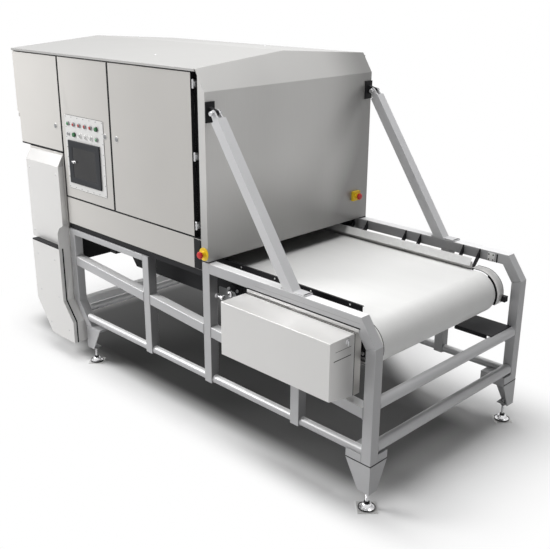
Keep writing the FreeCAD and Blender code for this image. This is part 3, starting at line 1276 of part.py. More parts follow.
cover_shell = prism("drive_cover_blank", "YZ", drive_profile("0", DRIVE_SEAM), ("drive_left", "drive_right"))
round_edges(cover_shell, FreeCAD.Vector(1, 0, 0), "drive_bend")
cover_neck = block("drive_cover_neck", ("drive_left + drive_seam_depth", "drive_right - drive_seam_depth"),
                   (DRIVE_SEAM + " - drive_bend", DRIVE_BACK),
                   (DRIVE_LOW + " + drive_seam_depth", "drive_top - drive_seam_depth"))
cover_room = prism("drive_cover_room", "YZ", drive_profile("drive_wall", DRIVE_BACK + " + 5"),
                   ("drive_left + drive_wall", "drive_right - drive_wall"))
node(cut("drive_cover", fuse("drive_cover_shell", cover_shell, cover_neck), cover_room))
back_plate = block("drive_plate_blank", ("drive_left", "drive_right"), (DRIVE_BACK, NEAR_FACE),
                   (DRIVE_LOW, "drive_top"))
tray_outside = block("drive_tray_outside", ("drive_left", "drive_right"),
                     (NEAR_FACE, NEAR_FACE + " + drive_tray"), (DRIVE_LOW, "drive_top"))
tray_inside = block("drive_tray_inside", ("drive_left + drive_wall", "drive_right - drive_wall"),
                    (NEAR_FACE, NEAR_FACE + " + drive_tray + 5"),
                    (DRIVE_LOW + " + drive_wall", "drive_top - drive_wall"))
post_room = block("drive_post_room", ("front_post - tube / 2", "front_post + tube / 2"),
                  (NEAR_FACE, NEAR_INNER), (DRIVE_LOW + " - 5", "drive_top + 5"))
drive_tray = cut("drive_tray_walls", tray_outside, tray_inside, post_room, doc.getObject("belt_mid_rail_solid"))
shaft_hole = rod("drive_shaft_hole", "Y", ("head_x", HEAD_Z), "shaft_diameter / 2 + 5",
                 ("-frame_half_width - 50", "0"))
motor_hole = rod("motor_shaft_hole", "Y", ("motor_x", HEAD_Z), "shaft_diameter / 2 + pin_clearance",
                 ("-frame_half_width - 50", "0"))
node(cut("drive_back_plate", fuse("drive_plate_body", back_plate, drive_tray), shaft_hole, motor_hole))
MOTOR_LENGTH = "frame_half_width - side_plate_inner - side_plate - motor_clearance"
motor_body = turned("motor_can", "Y", ("motor_x", HEAD_Z), NEAR_FACE, [
    ("0", "20"),
    ("motor_diameter / 2 - 5", "20"),
    ("motor_diameter / 2 - 5", "0"),
    ("motor_diameter / 2 + 8", "0"),
    ("motor_diameter / 2 + 8", "12"),
    ("motor_diameter / 2", "12"),
    ("motor_diameter / 2", MOTOR_LENGTH + " - 10"),
    ("motor_diameter / 2 - 10", MOTOR_LENGTH),
    ("0", MOTOR_LENGTH),
])
node(motor_body).Label = "drive_motor"
motor_pulley = rod("motor_pulley_rim", "Y", ("motor_x", HEAD_Z), "motor_pulley_radius",
                   (PULLEY_FRONT, PULLEY_BACK))
motor_shaft = rod("motor_shaft", "Y", ("motor_x", HEAD_Z), "shaft_diameter / 2",
                  (PULLEY_FRONT + " - 10", NEAR_FACE + " + 20 - running_gap"))
node(fuse("motor_pulley", motor_pulley, motor_shaft))


def drive_loop(name, extra, span):
    """The space inside the drive belt, grown by an extra."""
    big = "(drive_pulley_radius + %s)" % extra
    small = "(motor_pulley_radius + %s)" % extra
    lean = "asin((drive_pulley_radius - motor_pulley_radius) / (head_x - motor_x))"
    head = rod(name + "_big", "Y", ("head_x", HEAD_Z), big, span)
    tail = rod(name + "_small", "Y", ("motor_x", HEAD_Z), small, span)
    middle = prism(name + "_middle", "XZ", [
        ("head_x - %s * sin(%s)" % (big, lean), "%s + %s * cos(%s)" % (HEAD_Z, big, lean)),
        ("motor_x - %s * sin(%s)" % (small, lean), "%s + %s * cos(%s)" % (HEAD_Z, small, lean)),
        ("motor_x - %s * sin(%s)" % (small, lean), "%s - %s * cos(%s)" % (HEAD_Z, small, lean)),
        ("head_x - %s * sin(%s)" % (big, lean), "%s - %s * cos(%s)" % (HEAD_Z, big, lean)),
    ], span)
    return fuse(name, head, tail, middle)


node(cut("drive_belt",
         drive_loop("drive_belt_outside", "running_gap + drive_belt_thickness",
                    (PULLEY_FRONT + " + 5", PULLEY_BACK + " - 5")),
         drive_loop("drive_belt_inside", "running_gap", (PULLEY_FRONT, PULLEY_BACK))))

# Braces from the high rails to the infeed face, each with a foot plate and a forked top.
BRACE_Y = "-frame_half_width + brace_inset"
BRACE_FOOT = "rail_top + brace_foot_thickness"
ACROSS_HALF = "tube / 2"


def along_brace(distance, offset):
    """A point measured along the brace's axis from its foot, and square to it."""
    return ("brace_base - (%s) * sin(brace_lean) + (%s) * cos(brace_lean)" % (distance, offset),
            BRACE_FOOT + " + (%s) * cos(brace_lean) + (%s) * sin(brace_lean)" % (distance, offset))


brace_tube = prism("brace_tube", "XZ", [
    ("brace_base - tube / 2 / cos(brace_lean)", BRACE_FOOT),
    ("brace_base + tube / 2 / cos(brace_lean)", BRACE_FOOT),
    along_brace("brace_length", ACROSS_HALF),
    along_brace("brace_length", "-" + ACROSS_HALF),
], ("%s - tube / 2" % BRACE_Y, "%s + tube / 2" % BRACE_Y))
brace_foot = block("brace_foot", ("brace_base - brace_foot_length * 0.3", "brace_base + brace_foot_length * 0.7"),
                   (NEAR_FACE, NEAR_INNER), ("rail_top", BRACE_FOOT))


def cheek(name, start, end):
    """One cheek of the fork, tapered towards the pin."""
    return prism(name, "XZ", [
        along_brace("brace_length", "-22"),
        along_brace("brace_length", "22"),
        along_brace("brace_length + brace_pin_reach + 6", "16"),
        along_brace("brace_length + brace_pin_reach + 16", "8"),
        along_brace("brace_length + brace_pin_reach + 16", "-8"),
        along_brace("brace_length + brace_pin_reach + 6", "-16"),
    ], (start, end))


front_cheek = cheek("front_cheek", "%s - clevis_gap / 2 - clevis_plate" % BRACE_Y, "%s - clevis_gap / 2" % BRACE_Y)
back_cheek = cheek("back_cheek", "%s + clevis_gap / 2" % BRACE_Y, "%s + clevis_gap / 2 + clevis_plate" % BRACE_Y)
PIN_X, PIN_Z = along_brace("brace_length + brace_pin_reach", "0")
pin_bore = rod("brace_pin_bore", "Y", (PIN_X, PIN_Z), "brace_pin / 2 + pin_clearance",
               (NEAR_FACE + " - 10", NEAR_INNER + " + 10"))
near_brace = cut("near_brace", fuse("near_brace_body", brace_tube, brace_foot, front_cheek, back_cheek), pin_bore)
node(both_sides("braces", near_brace))

bracket_sheet = block("bracket_sheet", ("cabinet_face", "cabinet_face + bracket_thickness"),
                      ("%s - bracket_width / 2 + 3" % BRACE_Y, "%s + bracket_width / 2" % BRACE_Y),
                      ("%s - bracket_height / 2" % PIN_Z, "%s + bracket_height / 2" % PIN_Z))
lug = prism("bracket_lug", "XZ", [
    ("cabinet_face + bracket_thickness / 2", "%s - 24" % PIN_Z),
    ("%s + 12" % PIN_X, "%s - 14" % PIN_Z),
    ("%s + 14" % PIN_X, "%s + 12" % PIN_Z),
    ("cabinet_face + bracket_thickness / 2", "%s + 30" % PIN_Z),
], ("%s - clevis_gap / 2 + 1" % BRACE_Y, "%s + clevis_gap / 2 - 1" % BRACE_Y))
lug_bore = rod("lug_bore", "Y", (PIN_X, PIN_Z), "brace_pin / 2 + pin_clearance",
               (NEAR_FACE + " - 10", NEAR_INNER + " + 10"))
near_bracket = cut("near_bracket", fuse("near_bracket_body", bracket_sheet, lug), lug_bore)
near_pin = rod("near_brace_pin", "Y", (PIN_X, PIN_Z), "brace_pin / 2",
               ("%s - clevis_gap / 2 - clevis_plate - 6" % BRACE_Y,
                "%s + clevis_gap / 2 + clevis_plate + 6" % BRACE_Y))
node(both_sides("brace_brackets", near_bracket, near_pin))

# Inside: scanner housing over the belt, lamps, ejector bar with its nozzles, and the chutes.
scanner_box = block("scanner_box", ("scanner_left", "scanner_right"),
                    ("-scanner_half_width", "scanner_half_width"), ("scanner_bottom", "scanner_top"))
lamp_rods = [rod("scan_lamp_%d" % number, "Y", (place, "scanner_bottom - 60"), "lamp_tube_diameter / 2",
                 ("-scanner_half_width + 20", "scanner_half_width - 20"))
             for number, place in enumerate(("scanner_left + 80", "scanner_right - 80"))]
hangers = [block("lamp_hanger_%s_%s" % (end, side), (place + " - 15", place + " + 15"), span,
                 ("scanner_bottom - 90", "scanner_bottom"))
           for end, place in (("left", "scanner_left + 80"), ("right", "scanner_right - 80"))
           for side, span in (("near", ("-scanner_half_width", "-scanner_half_width + 20")),
                              ("far", ("scanner_half_width - 20", "scanner_half_width")))]
BEAM_ENDS = (("left", "scanner_left + tube"), ("right", "scanner_right - 2 * tube"))
beams = [block("scanner_beam_%s" % end, (place, place + " + tube"), (FRAME_FRONT, "frame_half_width - jamb / 2"),
               ("scanner_top", "scanner_top + tube"))
         for end, place in BEAM_ENDS]
near_legs = [block("scanner_near_leg_%s" % end, (place, place + " + tube"),
                   (FRAME_FRONT, FRAME_BACK), (SILL_TOP, "scanner_top"))
             for end, place in BEAM_ENDS]
far_legs = [block("scanner_far_leg_%s" % end, (place, place + " + tube"),
                  ("frame_half_width - jamb", "frame_half_width - jamb / 2"),
                  ("rail_top + jamb", "scanner_top"))
            for end, place in BEAM_ENDS]
beams += near_legs + far_legs
node(fuse("scanner_unit", scanner_box, *lamp_rods, *hangers, *beams))

EJECT_LEFT = "tail_x - tail_radius - ejector_gap - ejector_width"
EJECT_TOP = "belt_top - 20"
ejector_bar = block("ejector_block", (EJECT_LEFT, EJECT_LEFT + " + ejector_width"),
                    (CHANNEL_BACK, "-(%s)" % CHANNEL_BACK), (EJECT_TOP + " - ejector_height", EJECT_TOP))
nozzles = [rod("nozzle_%d" % number, "Z",
               (EJECT_LEFT + " + ejector_width / 2", "%d * nozzle_pitch" % number),
               "nozzle_diameter / 2", (EJECT_TOP + " - 2", EJECT_TOP + " + 12"))
           for number in range(-11, 12)]
node(fuse("ejector_bar", ejector_bar, *nozzles))

CHUTE_SPAN = (CHANNEL_BACK, "-(%s)" % CHANNEL_BACK)
CHUTE_START = EJECT_LEFT + " - tube"
chute_floor = prism("chute_floor", "XZ", [
    (CHUTE_START, "belt_top + 20"),
    ("housing_right - tube", "belt_top - 40"),
    ("housing_left + tube", "housing_bottom + 30"),
    ("housing_left + tube", "housing_bottom + 30 - chute_plate"),
    ("housing_right - tube", "belt_top - 40 - chute_plate"),
    (CHUTE_START, "belt_top + 20 - chute_plate"),
], CHUTE_SPAN)
chute_wall = prism("chute_wall", "XZ", [
    (CHUTE_START, "rail_top"),
    (CHUTE_START, "belt_top + 20 - chute_plate"),
    ("housing_right - tube", "belt_top - 40 - chute_plate"),
    ("housing_right - tube", "rail_top"),
], (CHANNEL_BACK, CHANNEL_BACK + " + chute_plate"))
node(fuse("product_chute", chute_floor, chute_wall, mirrored("chute_wall_far", chute_wall)))

doc.recompute()

# Nothing is written unless every object computed and every named piece is a sound solid.
for thing in doc.Objects:
    if "Invalid" in thing.State or "Error" in thing.State:
        raise RuntimeError("%s did not compute: %s" % (thing.Name, thing.State))
for piece in NODES:
    shape = piece.Shape
    if shape.isNull() or not shape.isValid() or not shape.Solids or shape.Volume <= 0:
        raise RuntimeError("%s is not a sound solid" % piece.Label)
os.makedirs("parts", exist_ok=True)
for piece in NODES:
    piece.Shape.exportStep("parts/%s.step" % piece.Label)
print("%d pieces written" % len(NODES))
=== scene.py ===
import json
import math
import bmesh
import bpy
import numpy as np
from bpy.props import FloatProperty, FloatVectorProperty, PointerProperty
from mathutils import Matrix, Vector


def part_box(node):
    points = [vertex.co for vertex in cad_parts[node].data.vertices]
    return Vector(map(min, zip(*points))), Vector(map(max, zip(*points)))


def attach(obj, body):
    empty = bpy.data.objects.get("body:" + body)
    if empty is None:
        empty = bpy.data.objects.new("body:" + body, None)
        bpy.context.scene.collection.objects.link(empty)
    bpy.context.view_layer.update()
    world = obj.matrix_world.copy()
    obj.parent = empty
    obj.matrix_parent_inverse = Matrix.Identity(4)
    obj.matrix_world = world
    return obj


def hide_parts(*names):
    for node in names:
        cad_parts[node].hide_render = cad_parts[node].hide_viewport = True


bl_info = {
    "name": "Optical Belt Sorter",
    "version": (1, 0, 0),
    "blender": (4, 5, 0),
    "location": "View3D > Sidebar > Sorter",
    "description": "Dresses a packed belt sorter with steel, rubber, switches and small hardware",
    "category": "Object",
}

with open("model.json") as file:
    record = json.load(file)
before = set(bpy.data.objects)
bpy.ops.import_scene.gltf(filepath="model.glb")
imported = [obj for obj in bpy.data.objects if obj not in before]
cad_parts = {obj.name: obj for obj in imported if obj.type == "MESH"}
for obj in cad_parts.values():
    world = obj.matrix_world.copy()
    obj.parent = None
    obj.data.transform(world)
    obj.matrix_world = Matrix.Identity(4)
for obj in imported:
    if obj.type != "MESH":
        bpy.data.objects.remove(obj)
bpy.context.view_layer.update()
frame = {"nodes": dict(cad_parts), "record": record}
NODES = frame["nodes"]
BODY_OF = {node: body for body, nodes in frame["record"]["behaviour"]["bodies"].items() for node in nodes}

X, Y, Z = np.eye(3)


# Sizes and colours a user would change.


def length(name, description, default):
    """A property for a size in metres."""
    return FloatProperty(name=name, description=description, default=default, min=0.0, unit="LENGTH")


def colour(name, description, default):
    """A property for a base colour."""
    return FloatVectorProperty(name=name, description=description, default=default, subtype="COLOR",
                               size=3, min=0.0, max=1.0)


class SorterSizes(bpy.types.PropertyGroup):
    """Sizes of the dressing, in metres."""
    tube: length("Frame tube", "Outside of the square frame tube", 0.060)
    tube_corner: length("Tube corner", "Corner radius of the square frame tube", 0.004)
    sheet_edge: length("Sheet edge", "Bend radius at the edges of doors and covers", 0.003)
    small_edge: length("Small edge", "Rounding on brackets and small plates", 0.0015)
    weld: length("Weld bead", "Radius of the weld beads", 0.003)


class SorterColours(bpy.types.PropertyGroup):
    """Base colours of the finishes."""
    panel: colour("Stainless doors", "Brushed sheet of doors and panels", (0.55, 0.535, 0.513))
    plate: colour("Control plate", "Bright sheet round the screen", (0.70, 0.695, 0.685))
    cover: colour("Side covers", "Bright sheet of the folded covers", (0.69, 0.683, 0.672))
    roof: colour("Roof", "Sheet of the roof", (0.415, 0.411, 0.402))
    hood: colour("Infeed hood", "Sheet of the infeed face", (0.62, 0.613, 0.60))
    tube: colour("Frame tube", "Bead-blasted frame tube", (0.45, 0.45, 0.458))
    belt: colour("Belt", "White food belt", (0.84, 0.84, 0.83))
    dark: colour("Dark steel", "Painted channels and brackets", (0.016, 0.016, 0.0175))
    seal: colour("Seal", "Black rubber of seams and seals", (0.012, 0.012, 0.013))
    bright: colour("Bright steel", "Locks, bolts, stems", (0.62, 0.62, 0.63))
    chrome: colour("Polished steel", "Levelling feet and catch", (0.80, 0.80, 0.81))
    yellow: colour("Yellow", "Emergency stop plates", (0.90, 0.62, 0.02))
    red: colour("Red", "Emergency stop heads and red lamps", (0.58, 0.012, 0.010))
    green: colour("Green", "Green push buttons", (0.012, 0.13, 0.035))
    bezel: colour("Bezel", "Frame of the screen", (0.018, 0.020, 0.024))


# Shader arithmetic.


class Signal:
    """A shader socket that takes part in Python arithmetic: each operation adds its Math node."""

    def __init__(self, finish, socket):
        self.finish = finish
        self.socket = socket

    def _math(self, operation, first, second=None):
        values = {0: first} if second is None else {0: first, 1: second}
        return self.finish.node("ShaderNodeMath", {"operation": operation}, values)

    def __add__(self, other):
        return self._math("ADD", self, other)

    __radd__ = __add__

    def __mul__(self, other):
        return self._math("MULTIPLY", self, other)

    __rmul__ = __mul__

    def __sub__(self, other):
        return self._math("SUBTRACT", self, other)

    def __rsub__(self, other):
        return self._math("SUBTRACT", other, self)

    def __pow__(self, other):
        return self._math("POWER", self, other)

    def least(self, value):
        """The signal, or the value where the signal is lower."""
        return self._math("MAXIMUM", self, value)

    def clamp(self):
        return self.finish.node("ShaderNodeClamp", {}, {"Value": self})

    def band(self, low, high):
        """Rises smoothly from 0 at low to 1 at high."""
        return self.finish.node("ShaderNodeMapRange", {"interpolation_type": "SMOOTHSTEP"},
                                {"Value": self, "From Min": low, "From Max": high})


class Graph:
    """A node tree with a short way to add its nodes."""

    def __init__(self, tree):
        self.tree = tree

    def node(self, kind, settings=None, values=None, output=0):
        """Adds a node: settings first, then the values or links of its sockets."""
        made = self.tree.nodes.new(kind)
        for key, value in (settings or {}).items():
            setattr(made, key, value)
        for key, value in (values or {}).items():
            socket = made.inputs[key]
            if isinstance(value, Signal):
                self.tree.links.new(value.socket, socket)
            else:
                socket.default_value = value
        return Signal(self, made.outputs[output])

    def seen(self):
        """1 for rays from the camera and those that metal or glass sends on, 0 for the rest."""
        camera, glossy, through = [self.node("ShaderNodeLightPath", output=kind)
                                   for kind in ("Is Camera Ray", "Is Glossy Ray", "Is Transmission Ray")]
        return camera.least(glossy).least(through)


class Finish(Graph):
    """A material with a Principled shader and helpers for its pattern."""

    def __init__(self, name, base, roughness, metallic=0.0, **fixed):
        self.material = bpy.data.materials.new(name)
        self.material.use_nodes = True
        super().__init__(self.material.node_tree)
        self.shader = self.tree.nodes["Principled BSDF"]
        self.shader.inputs["Base Color"].default_value = (*base, 1.0)
        self.shader.inputs["Roughness"].default_value = roughness
        self.shader.inputs["Metallic"].default_value = metallic
        self.base = tuple(base)
        for socket, value in fixed.items():
            self.shader.inputs[socket.replace("_", " ")].default_value = value
        self.material.diffuse_color = (*base, 1.0)

    def place(self, stretch=(1, 1, 1)):
        """Object coordinates, scaled along each axis."""
        where = self.node("ShaderNodeTexCoord", output=3)
        return self.node("ShaderNodeMapping", {"vector_type": "POINT"}, {"Vector": where, "Scale": stretch})

    def along(self, axis):
        """One of the object coordinates, 0 for X, 1 for Y, 2 for Z."""
        where = self.node("ShaderNodeTexCoord", output=3)
        return self.node("ShaderNodeSeparateXYZ", {}, {"Vector": where}, output=axis)

    def noise(self, scale, stretch=(1, 1, 1), detail=3.0, rough=0.5):
        """Noise between about 0.3 and 0.7."""
        return self.node("ShaderNodeTexNoise", {},
                         {"Vector": self.place(stretch), "Scale": scale, "Detail": detail, "Roughness": rough})

    def tint(self, amount, dark=0.9, light=1.06):
        """Varies the base colour between darker and lighter by a signal."""
        low = tuple(dark * part for part in self.base) + (1.0,)
        high = tuple(min(1.0, light * part) for part in self.base) + (1.0,)
        return self.node("ShaderNodeMix", {"data_type": "RGBA"},
                         {"Factor": amount, 6: low, 7: high}, output=2)

    def mix(self, amount, low, high):
        """A colour between two others."""
        ends = {6: low if isinstance(low, Signal) else (*low, 1.0),
                7: high if isinstance(high, Signal) else (*high, 1.0)}
        return self.node("ShaderNodeMix", {"data_type": "RGBA"}, {"Factor": amount, **ends}, output=2)

    def feed(self, **sockets):
        """Links signals to the shader's sockets."""
        for name, signal in sockets.items():
            self.tree.links.new(signal.socket, self.shader.inputs[name.replace("_", " ")])
        return self

    def bump(self, relief, strength, distance=0.001):
        """Feeds a relief to the shader's normal."""
        self.feed(Normal=self.node("ShaderNodeBump", {},
                                   {"Height": relief, "Strength": strength, "Distance": distance}))
        return self


def brushed(name, base, stretch, roughness=0.34, metallic=0.3, painted_shading=None, dark=0.95, light=1.04):
    """Brushed stainless sheet: long fine streaks, faint smudges, soft colour changes.

    The painted shading, where one is given, is painted light and shade: it makes the sheet lighter as it rises
    from 0 to 1.
    """
    finish = Finish(name, base, roughness, metallic)
    streaks = finish.noise(1.0, stretch, 4.0, 0.6)
    smudge = finish.noise(2.3, detail=4.0)
    amount = smudge * 0.55 + streaks * 0.45
    # Where given, the painted shading ramp paints light and shade into most of the tone.
    if painted_shading:
        amount = smudge * 0.14 + streaks * 0.10 + 0.15 + painted_shading(finish) * 0.6
    finish.feed(Base_Color=finish.tint(amount, dark, light))
    finish.feed(Roughness=roughness - 0.10 + smudge * 0.14 + streaks * 0.08)
    finish.bump(streaks, 0.08, 0.0003)
    return finish.material


def mottled(name, base, cloud, grain, tones, metallic=0.0, **fixed):
    """Paint, rubber, plastic or steel with blotches of tone and gloss, and a fine relief.

    Cloud holds the blotches' scale and detail, the roughness and how far it varies. Grain holds the
    relief's scale, detail, strength and depth. Tones are the darkest and lightest share of the base.
    """
    finish = Finish(name, base, cloud[2], metallic, **fixed)
    blotches = finish.noise(cloud[0], detail=cloud[1])
    finish.feed(Base_Color=finish.tint(blotches, *tones), Roughness=blotches * cloud[3] + cloud[2])
    if grain:
        finish.bump(finish.noise(grain[0], detail=grain[1]), *grain[2:])
    return finish.material


def make_finishes(colours):
    """Every finish of the machine, by name."""
    made = {}
    upright, lengthwise = (700, 700, 9), (9, 700, 700)
    # Painted light: sheets in the panel finish are painted lighter towards the outfeed end (-X).
    made["panel"] = brushed("brushed_panel", colours.panel, upright, dark=0.80, light=1.23,
                            painted_shading=lambda finish: (finish.along(0) * -1.0).band(0.3, 2.0))
    made["plate"] = brushed("brushed_plate", colours.plate, lengthwise)
    # Painted shade: the covers are painted darker above a height of about 1.345 m.
    made["cover"] = brushed("brushed_cover", colours.cover, upright, dark=0.64, light=1.05,
                            painted_shading=lambda finish: (finish.along(2) * -1.0).band(-1.3465, -1.3445))
    # Painted light: the roof is painted lighter towards the infeed end (+X).
    made["roof"] = brushed("brushed_roof", colours.roof, lengthwise, dark=0.84, light=1.10,
                           painted_shading=lambda finish: finish.along(0).band(-1.9, -0.1))

    hood = Finish("brushed_hood", colours.hood, 0.36, 0.3)
    streaks = hood.noise(1.0, upright, 4.0, 0.6)
    reflected = hood.noise(1.4, (1.0, 1.0, 0.55), 1.5)
    # Painted shade and reflection: the hood is painted darker towards its foot and towards the far side, and
    # the stretched noise paints soft reflections.
    foot = (hood.along(2) * -1.0).band(-1.55, -1.03)
    shade = reflected * 0.55 + streaks * 0.15 + 0.42 - foot * 0.62 - hood.along(1).band(0.25, 0.70) * 0.80
    hood.feed(Base_Color=hood.tint(shade.clamp(), 0.46, 1.14), Roughness=0.30 + reflected * 0.12)
    hood.bump(streaks, 0.08, 0.0003)
    made["hood"] = hood.material

    # Tops of rails and tubes are painted light above a height, a painted highlight where the top lamp falls;
    # the height falls along X on a sloping rail.
    for name, low, high, fall in (("tube", 0, 0, 0), ("weld", 0, 0, 0), ("high_rail", 1.0235, 1.0248, 0.0),
                                  ("mid_rail", 0.6505, 0.6518, 0.0713), ("bottom_tube", 0.332, 0.3425, 0.0),
                                  ("crossbar", 0.9, 1.0, -1.0), ("brace", 0, 0, 0)):
        # The braces' copy of the tube finish is painted 1.35 times lighter, as painted light; the weld beads
        # are darker.
        shade = {"weld": 0.8, "brace": 1.35}.get(name, 1.0)
        base = tuple(shade * part for part in colours.tube)
        tube = Finish("blasted_" + name, base, 0.36, 0.2)
        grain = tube.noise(380 if name == "weld" else 900, detail=2.0)
        cloud = tube.noise(6, detail=4.0)
        plain = tube.tint(cloud, 0.95, 1.04)
        if high:
            painted_top_highlight = (tube.along(2) + tube.along(0) * fall).band(low, high)
            plain = tube.mix(painted_top_highlight, plain, (0.93, 0.93, 0.935))
        # Painted shade: the +X faces of the posts are painted dark in thin bands at their places along X, the
        # corner post's less so.
        if name == "tube":
            inner = [(1.0 - (tube.along(0) - start - POST_WIDTH) ** 2 * 1.0e6).clamp()
                     for start in POST_STARTS]
            corner = (1.0 - (tube.along(0) - CORNER_POST - POST_WIDTH) ** 2 * 1.0e6).clamp() * 0.35
            plain = tube.mix((inner[0] + inner[1] + inner[2] + corner).clamp(), plain, (0.18, 0.18, 0.183))
        tube.feed(Base_Color=plain, Roughness=0.30 + cloud * 0.14 + grain * 0.04)
        tube.bump(grain, 0.5 if name == "weld" else 0.12, 0.0005)
        made[name] = tube.material

    belt = Finish("food_belt", colours.belt, 0.55, 0.0)
    weave_x = belt.node("ShaderNodeMath", {"operation": "SINE"}, {0: belt.along(0) * 2600.0})
    weave_y = belt.node("ShaderNodeMath", {"operation": "SINE"}, {0: belt.along(1) * 2600.0})
    scuff = belt.noise(1.0, (1.2, 14, 4), 4.0)
    belt.feed(Base_Color=belt.tint(scuff, 0.955, 1.02), Roughness=0.46 + scuff * 0.2)
    belt.bump(weave_x * weave_y, 0.08, 0.0004)
    made["belt"] = belt.material

    made["dark"] = mottled("dark_paint", colours.dark, (5, 4, 0.4, 0.25), (160, 2, 0.15, 0.0006), (0.8, 1.6),
                           Specular_IOR_Level=0.12)
    made["seal"] = mottled("black_seal", colours.seal, (500, 2, 0.5, 0.25), (500, 2, 0.2, 0.0004), (0.7, 1.6),
                           Specular_IOR_Level=0.15)
    made["cast"] = mottled("cast_grey", (0.30, 0.305, 0.31), (260, 3, 0.4, 0.2), (260, 3, 0.3, 0.0008),
                           (0.8, 1.15), 0.35)
    made["bright"] = mottled("bright_steel", colours.bright, (40, 4, 0.20, 0.2), (40, 4, 0.05, 0.0004),
                             (0.88, 1.05), 0.9)
    made["chrome"] = mottled("chrome_steel", colours.chrome, (40, 4, 0.12, 0.2), None, (0.88, 1.05), 0.9)
    rail = Finish("door_frame_paint", colours.seal, 0.6, 0.0, Specular_IOR_Level=0.15)
    pale_end = (rail.along(0) * -1.0).band(1.8725, 1.8729)
    rail.feed(Base_Color=rail.mix(pale_end, rail.tint(rail.noise(14), 0.8, 1.3), colours.panel))
    made["door_frame"] = rail.material

    for name, base, rough, shine in (("yellow", colours.yellow, 0.42, 0.45), ("red", colours.red, 0.3, 0.45),
                                     ("green", colours.green, 0.3, 0.45), ("bezel", colours.bezel, 0.38, 0.2),
                                     ("white", (0.90, 0.90, 0.89), 0.4, 0.45),
                                     ("switch", (0.03, 0.03, 0.034), 0.4, 0.45)):
        made[name] = mottled("plastic_" + name, base, (30, 3, rough - 0.05, 0.12), (420, 2, 0.08, 0.0003),
                             (0.9, 1.08), Specular_IOR_Level=shine)

    for name, base in (("red_lens", (0.40, 0.02, 0.015)), ("green_lens", (0.02, 0.24, 0.06))):
        lens = Finish("lamp_" + name, base, 0.16, 0.0, Coat_Weight=0.6, Coat_Roughness=0.08)
        ribs = lens.node("ShaderNodeMath", {"operation": "SINE"}, {0: lens.along(0) * 3500.0})
        lens.feed(Base_Color=lens.tint(ribs * 0.5 + 0.5, 0.75, 1.3))
        lens.bump(ribs, 0.15, 0.0004)
        made[name] = lens.material

    screen = Finish("screen_glass", (0.08, 0.082, 0.084), 0.2, 0.0, Coat_Weight=0.04,
                    Coat_Roughness=0.1, Specular_IOR_Level=0.3)
    # Painted reflection: the glass is painted lighter diagonally across it and in soft blotches.
    slope = screen.along(0) * 2.2 + screen.along(2) * 1.3
    sheen = screen.noise(1.2, detail=2.0)
    painted_reflection = slope + sheen * 0.25
    screen.feed(Base_Color=screen.mix((painted_reflection + 0.45).clamp(), (0.010, 0.010, 0.011), (0.034, 0.035, 0.036)),
                Roughness=0.1 + sheen * 0.08)
    made["screen"] = screen.material
    return made


# Shapes.


def coat(mesh, finish):
    """Gives a mesh one finish."""
    mesh.materials.clear()
    mesh.materials.append(FINISH[finish])


def link(name, mesh, finish, body):
    """Puts a mesh into the scene, riding on a body."""
    thing = bpy.data.objects.new(name, mesh)
    bpy.context.scene.collection.objects.link(thing)
    coat(mesh, finish)
    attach(thing, body)
    return thing


def build(name, shapes, finish, body="frame"):
    """A piece from one shape, or from a list of them made one, shaded smooth up to 35 degrees."""
    points, faces = joined(shapes) if isinstance(shapes, list) else shapes
    mesh = bpy.data.meshes.new(name)
    mesh.from_pydata(np.asarray(points, float).tolist(), [], [list(map(int, face)) for face in faces])
    mesh.validate()
    link(name, mesh, finish, body)
    mesh.shade_smooth()
    mesh.set_sharp_from_angle(angle=math.radians(35))


def quads(rows, columns, closed_rows=False, closed_columns=True):
    """Faces of a grid numbered row by row, wrapping where it is closed."""
    row = np.arange(rows if closed_rows else rows - 1)
    column = np.arange(columns if closed_columns else columns - 1)
    a = (row[:, None] * columns + column[None, :]).ravel()
    b = (row[:, None] * columns + (column[None, :] + 1) % columns).ravel()
    c = (((row[:, None] + 1) % rows) * columns + (column[None, :] + 1) % columns).ravel()
    d = (((row[:, None] + 1) % rows) * columns + column[None, :]).ravel()
    return np.stack([a, b, c, d], 1)


def rounded_square(width, depth, radius, steps=4):
    """A closed outline: four quarter circles of the radius set in the corners of a rectangle."""
    turn = np.linspace(0, math.pi / 2, steps + 1)
    corners = []
    for index, (right, up) in enumerate(((1, 1), (-1, 1), (-1, -1), (1, -1))):
        middle = np.array([right * (width / 2 - radius), up * (depth / 2 - radius)])
        angle = turn + index * math.pi / 2
        corners.append(middle + radius * np.stack([np.cos(angle), np.sin(angle)], 1))
    return np.concatenate(corners)


def circle(radius, steps=24):
    """A closed round outline."""
    angle = np.linspace(0, 2 * math.pi, steps, endpoint=False)
    return radius * np.stack([np.cos(angle), np.sin(angle)], 1)


def carried(path, outline, side, closed=False):
    """An outline carried along a path: each ring lies in the plane that halves the turn there.

    The outline's first axis follows the side vector and its second the cross of path and side.
    """
    path = np.asarray(path, float)
    side = np.asarray(side, float)
    steps = np.diff(path, axis=0)
    runs = steps / np.linalg.norm(steps, axis=1)[:, None]
    before = np.vstack([runs[:1], runs])
    after = np.vstack([runs, runs[-1:]])
    if closed:
        before[0] = after[-1] = (path[0] - path[-1]) / np.linalg.norm(path[0] - path[-1])
    cut = before + after
    cut /= np.linalg.norm(cut, axis=1)[:, None]
    rings = []
    for spot, run, plane in zip(path, after, cut):
        up = np.cross(run, side)
        up /= np.linalg.norm(up)
        flat = np.cross(up, run)
        flat /= np.linalg.norm(flat)
        ring = outline[:, :1] * flat + outline[:, 1:] * up
        reach = -(ring @ plane) / (run @ plane)
        rings.append(spot + ring + reach[:, None] * run)
    return np.concatenate(rings)


def tube_shape(path, outline, side):
    """Points and faces of a closed tube with flat ends."""
    count = len(outline)
    points = carried(path, outline, side)
    faces = list(quads(len(path), count))
    faces.append(np.arange(count)[::-1])
    faces.append(np.arange(count) + (len(path) - 1) * count)
    return points, faces


